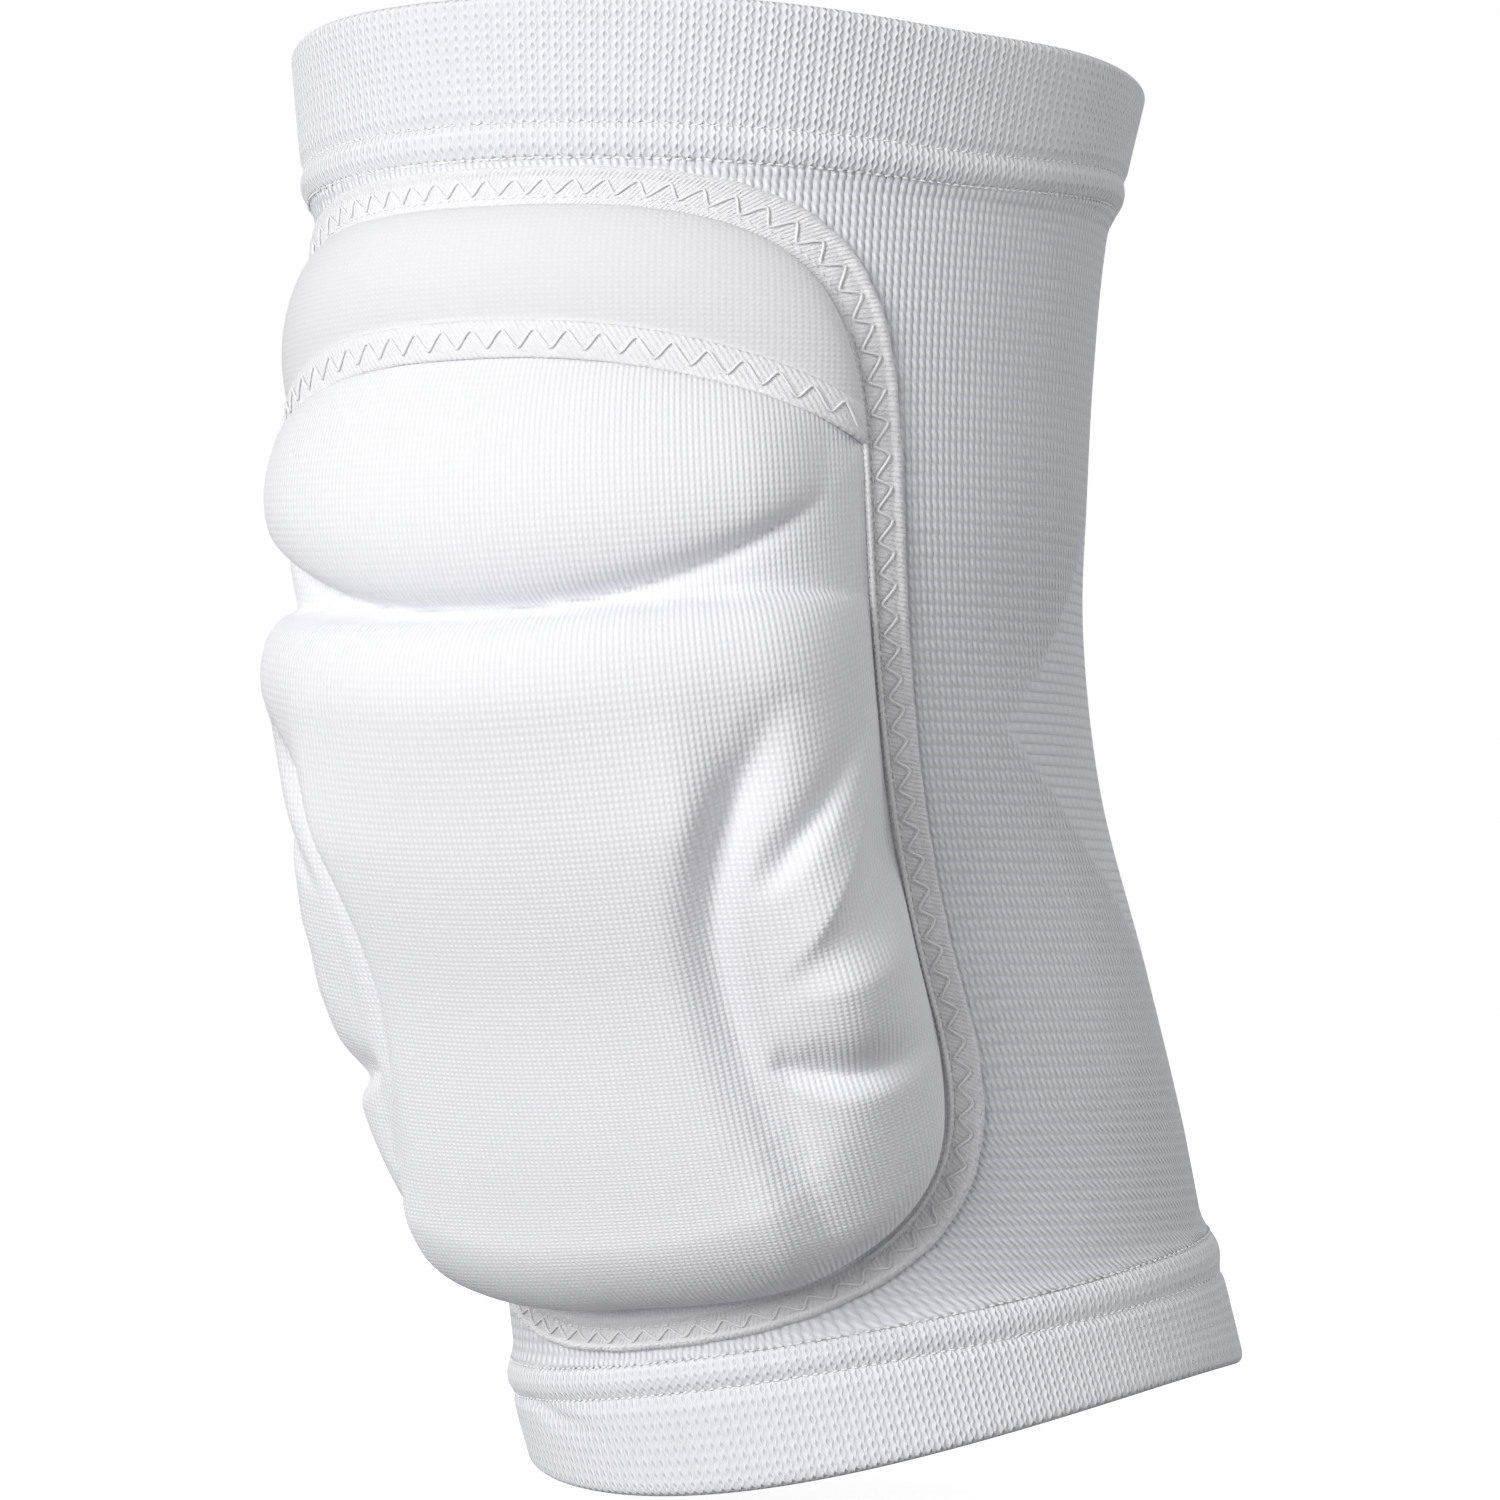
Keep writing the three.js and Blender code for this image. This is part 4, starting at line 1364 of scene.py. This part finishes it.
def crossTapeLift(share, across):
    # across: 0 at the lower edge, 1 at the upper edge
    base = panelLift(share, crossTapeTop(share)) + crossTape["overPanel"]
    inset = crossTape["crownInset"]
    crown = np.clip(np.sin(math.pi * np.clip(across * (1 - 2 * inset) + inset, 0, 1)), 0, 1)
    along = share * halfArc * zigzag["crossTighter"]
    drawn = drawnIn((across - 0.5) * pad["crossTapeWidth"], along, 0.0)
    sewn = np.abs(across - 0.5) < crossTape["sewnHalf"]
    return base + crossTape["crown"] * crown ** crossTape["crownPower"] + drawn * sewn


def buildCrossTape():
    share = sheetShares(crossTape["columns"], panel["reach"])
    share, v = np.meshgrid(share, np.linspace(0, 1, crossTape["rows"]), indexing="ij")
    height = crossTapeBottom(share) + pad["crossTapeWidth"] * v
    angle = share * coverAngle
    along = angle * leg["width"] / 2
    outer = legPoint(angle, height, crossTapeLift(share, v))
    inner = legPoint(angle, height, edge["clearance"])
    return sheetPiece("crossBindingTape", outer, inner, along, height)


dress(buildCrossTape(), "brushedTape", "brushed_tape", "cross_binding")

# Outer tape

tape = {
    "steps": 1200,
    # its ends meet at the bottom, in turns of the route
    "join": 2.5,
    # across the tape from its outer edge, and height over the knit
    "profile": [(0.3, -0.3), (-0.15, -0.3), (0.0, 0.3), (0.25, 1.0), (0.75, 1.46), (1.2, 1.4), (1.6, 1.16),
                (1.9, 1.24), (2.6, 1.34), (3.6, 1.34), (4.4, 1.3), (4.9, 1.42), (5.45, 1.75), (5.8, 1.2)],
    "fineStep": 0.3,
    "middle": 2.95,
    "sewnSpan": (1.2, 5),
    # the thread draws it in more along its straight sides, past these degrees
    "sideGather": 2.6,
    "sideSpan": (44, 56),
    # the outer edge wavers a little, and puffs between the stitches
    "waver": 0.12,
    "waverPitches": (9.7, 5.3),
    "waverShare": 0.6,
    "puff": 0.05,
    "puffSpan": (0.2, 1.3),
}
tapeLiftAt = smoothCurve(*np.array(tape["profile"][3:12]).T)


def buildOuterTape():
    turns, length = evenTurns(tape["steps"], pad["tapeWidth"] / 2, tape["join"])
    along = np.arange(tape["steps"]) * length / tape["steps"]
    along = along * zigzag["pitch"] * round(length / zigzag["pitch"]) / length
    longPitch, shortPitch = tape["waverPitches"]
    slow = np.sin(2 * math.pi * along / longPitch)
    slow = slow + tape["waverShare"] * np.sin(2 * math.pi * along / shortPitch + 1)
    sewnFrom, sewnTo = tape["sewnSpan"]
    puffFrom, puffTo = tape["puffSpan"]
    fine = np.arange(tape["profile"][3][0], tape["profile"][11][0], tape["fineStep"])
    rows = tape["profile"][:3] + [(inset, tapeLiftAt(inset)) for inset in fine] + tape["profile"][-2:]
    rings = []
    for inset, lift in rows:
        baseAngle, baseHeight = routeAt(turns, inset)
        nudgeAngle, nudgeHeight = routeAt(turns, inset + 0.5)
        edgeShift = tape["waver"] * slow * (inset < 1)
        angle = baseAngle + (nudgeAngle - baseAngle) * edgeShift
        height = baseHeight + (nudgeHeight - baseHeight) * edgeShift
        onSide = 1 + tape["sideGather"] * smoothStep(np.degrees(np.abs(baseAngle)), *tape["sideSpan"])
        drawn = drawnIn(inset, along, tape["middle"]) * (sewnFrom < inset < sewnTo) * onSide
        puffed = tape["puff"] * np.sin(4 * math.pi * along / zigzag["pitch"]) * (puffFrom < inset < puffTo)
        rings.append(legPoint(angle, height, lift + drawn + puffed))
    points = np.stack(rings, axis=1)
    faces, corners = gridFaces(*points.shape[:2], True, True)
    inset = np.array([row[0] for row in rows] + [rows[0][0]])
    uv = np.stack([corners[..., 0] * length / tape["steps"], inset[corners[..., 1]]], axis=-1)
    return clothMesh("outerBindingTape", points.reshape(-1, 3), faces, uv)


dress(buildOuterTape(), "brushedTape", "brushed_tape", "outer_binding")


def outerZigzag():
    turns, length = evenTurns(tape["steps"] * 2, pad["tapeWidth"] / 2, tape["join"])
    steps = zigzag["steps"]
    count = round(length / zigzag["pitch"]) * steps
    at = np.arange(count) / steps * zigzag["pitch"]
    whole = count / steps * zigzag["pitch"]
    known = np.arange(len(turns)) * length / len(turns)
    turn = np.interp(at / whole * length, known, turns)
    wave = zigzagWave(at)
    inset = tape["middle"] + zigzag["reach"] * wave
    angle, height = routeAt(turn, inset)
    return legPoint(angle, height, tapeLiftAt(inset) + zigzagOver(wave)), True


def crossZigzag():
    reach = halfArc * panel["reach"] * zigzag["crossReach"]
    count = int(2 * reach / zigzag["pitch"] * zigzag["crossSteps"])
    along = np.linspace(-reach, reach, count)
    wave = zigzagWave(along * zigzag["crossTighter"])
    share = along / halfArc
    across = 0.5 + zigzag["reach"] * wave / pad["crossTapeWidth"]
    height = crossTapeBottom(share) + pad["crossTapeWidth"] * across
    lift = crossTapeLift(share, across) + zigzag["drawDepth"] + zigzagOver(wave)
    return legPoint(share * coverAngle, height, lift), False


def tapeRun(inset, lift, start, end, count):
    angle, height = routeAt(np.linspace(start, end, count), inset)
    return legPoint(angle, height, lift)


zigzagThread = grown(threadPath("zigzagThread", [outerZigzag(), crossZigzag()]), laidThread,
                     Radius=zigzag["radius"] * millimetre, Thread=materials["whiteThread"])
dress(zigzagThread, "whiteThread", "")

tapeStitch = {
    "pitch": 1.6,
    "length": 1.1,
    "thickness": 0.26,
    "uneven": 0.12,
    "seed": 11,
    # inset, lift, first turn, last turn and points of the inner row and of the short outer row below
    "innerRow": (4.4, 1.4, 0, 4, 1600),
    "outerRow": (1.05, 1.52, 2.1, 2.95, 500),
}
innerRow = tapeRun(*tapeStitch["innerRow"])[:-1]
outerRow = tapeRun(*tapeStitch["outerRow"])
sewnRows("tapeStitches", [(innerRow, True), (outerRow, False)], tapeStitch)

# a thin cord where the tape meets the pad's cover, left out in the middle of the top and of the bottom
cord = {
    "inset": 5.35,
    "lift": 2.1,
    "radius": 0.44,
    "step": 0.24,
    "twist": 0.55,
    "points": 500,
    "turns": [(0.8, 2.3), (2.7, 4.2)],
}
cordRuns = [(tapeRun(cord["inset"], cord["lift"], start, end, cord["points"]), False)
            for start, end in cord["turns"]]
edgeCord = grown(threadPath("edgeCord", cordRuns), twistedCord, Radius=cord["radius"] * millimetre,
                 Step=cord["step"] * millimetre, Twist=cord["twist"], Thread=materials["whiteThread"])
dress(edgeCord, "whiteThread", "")
print("tapes, threads and panel built")

# Camera, light and floor

camera = {
    "azimuth": 33.0,
    "elevation": -2.03,
    "distance": 1014.4,
    "millimetresPerPixel": 0.15,
    "originPixel": (764.84, 761.81),
    "imageSize": 1500,
    "sensor": 36.0,
}


def addCamera():
    azimuth = math.radians(camera["azimuth"])
    elevation = math.radians(camera["elevation"])
    back = Vector((math.sin(azimuth) * math.cos(elevation), -math.cos(azimuth) * math.cos(elevation),
                   math.sin(elevation)))
    right = Vector((math.cos(azimuth), math.sin(azimuth), 0))
    up = back.cross(right)
    middle = camera["imageSize"] / 2
    sideways = (middle - camera["originPixel"][0]) * camera["millimetresPerPixel"]
    raised = (camera["originPixel"][1] - middle) * camera["millimetresPerPixel"]
    data = bpy.data.cameras.new("photoCamera")
    data.sensor_width = camera["sensor"]
    shown = camera["millimetresPerPixel"] * camera["imageSize"]
    data.lens = camera["sensor"] * camera["distance"] / shown
    data.clip_end = 50
    photoCamera = bpy.data.objects.new("photoCamera", data)
    scene.collection.objects.link(photoCamera)
    photoCamera.location = (back * camera["distance"] + right * sideways + up * raised) * millimetre
    photoCamera.rotation_euler = back.to_track_quat("Z", "Y").to_euler()
    scene.camera = photoCamera


lights = [
    # name, azimuth, elevation, distance and size in metres, power and colour
    ("keyLight", -1, 14, 2.3, 1.5, 46, (1.0, 1.0, 1.0)),
    ("leftLight", -75, 10, 1.8, 1.0, 4.0, (1.0, 1.0, 1.0)),
    ("sideLight", 95, 14, 2.0, 0.8, 4.6, (0.96, 0.97, 1.0)),
    ("rimLight", 140, 15, 1.5, 0.8, 4.4, (1.0, 1.0, 1.0)),
    ("backLight", 212, 20, 2.3, 1.5, 17, (1.0, 1.0, 1.0)),
]


def addLight(name, azimuth, elevation, distance, size, power, colour):
    turn = math.radians(azimuth)
    tilt = math.radians(elevation)
    level = math.cos(tilt)
    place = Vector((math.sin(turn) * level, -math.cos(turn) * level, math.sin(tilt))) * distance
    data = bpy.data.lights.new(name, "AREA")
    data.shape = "DISK"
    data.size = size
    data.energy = power
    data.color = colour
    light = bpy.data.objects.new(name, data)
    scene.collection.objects.link(light)
    light.location = place
    light.rotation_euler = place.to_track_quat("Z", "Y").to_euler()


floorPaper = {
    "reach": 20,
    "below": 0.001,
    "colour": (0.26, 0.26, 0.27, 1),
    "rough": 0.9,
    "glow": 0.93,
}


def addFloor():
    mesh = bpy.data.meshes.new("paleFloor")
    level = cadBox[0][2] - floorPaper["below"]
    far = floorPaper["reach"]
    corners = [(-far, -far, level), (far, -far, level), (far, far, level), (-far, far, level)]
    mesh.from_pydata(corners, [], [(0, 1, 2, 3)])
    floor = bpy.data.objects.new("paleFloor", mesh)
    scene.collection.objects.link(floor)
    material = bpy.data.materials.new("palePaper")
    material.use_nodes = True
    shader = material.node_tree.nodes["Principled BSDF"]
    shader.inputs["Base Color"].default_value = floorPaper["colour"]
    shader.inputs["Roughness"].default_value = floorPaper["rough"]
    shader.inputs["Emission Color"].default_value = (1, 1, 1, 1)
    # it looks white to the camera, but gives no light of its own to the pad
    path = material.node_tree.nodes.new("ShaderNodeLightPath")
    glow = maths(material.node_tree, "MULTIPLY", path.outputs["Is Camera Ray"], floorPaper["glow"])
    material.node_tree.links.new(glow, shader.inputs["Emission Strength"])
    floor.data.materials.append(material)


# the light from all round, under a white background
ambient = 0.265


def addWorld():
    world = bpy.data.worlds.new("studio")
    world.use_nodes = True
    tree = world.node_tree
    background = tree.nodes["Background"]
    background.inputs["Color"].default_value = (1, 1, 1, 1)
    path = tree.nodes.new("ShaderNodeLightPath")
    strength = maths(tree, "MULTIPLY_ADD", path.outputs["Is Camera Ray"], 1 - ambient, ambient)
    tree.links.new(strength, background.inputs["Strength"])
    scene.world = world


addCamera()
for light in lights:
    addLight(*light)
addFloor()
addWorld()
scene.view_settings.view_transform = "Standard"
print("camera, light and floor set")
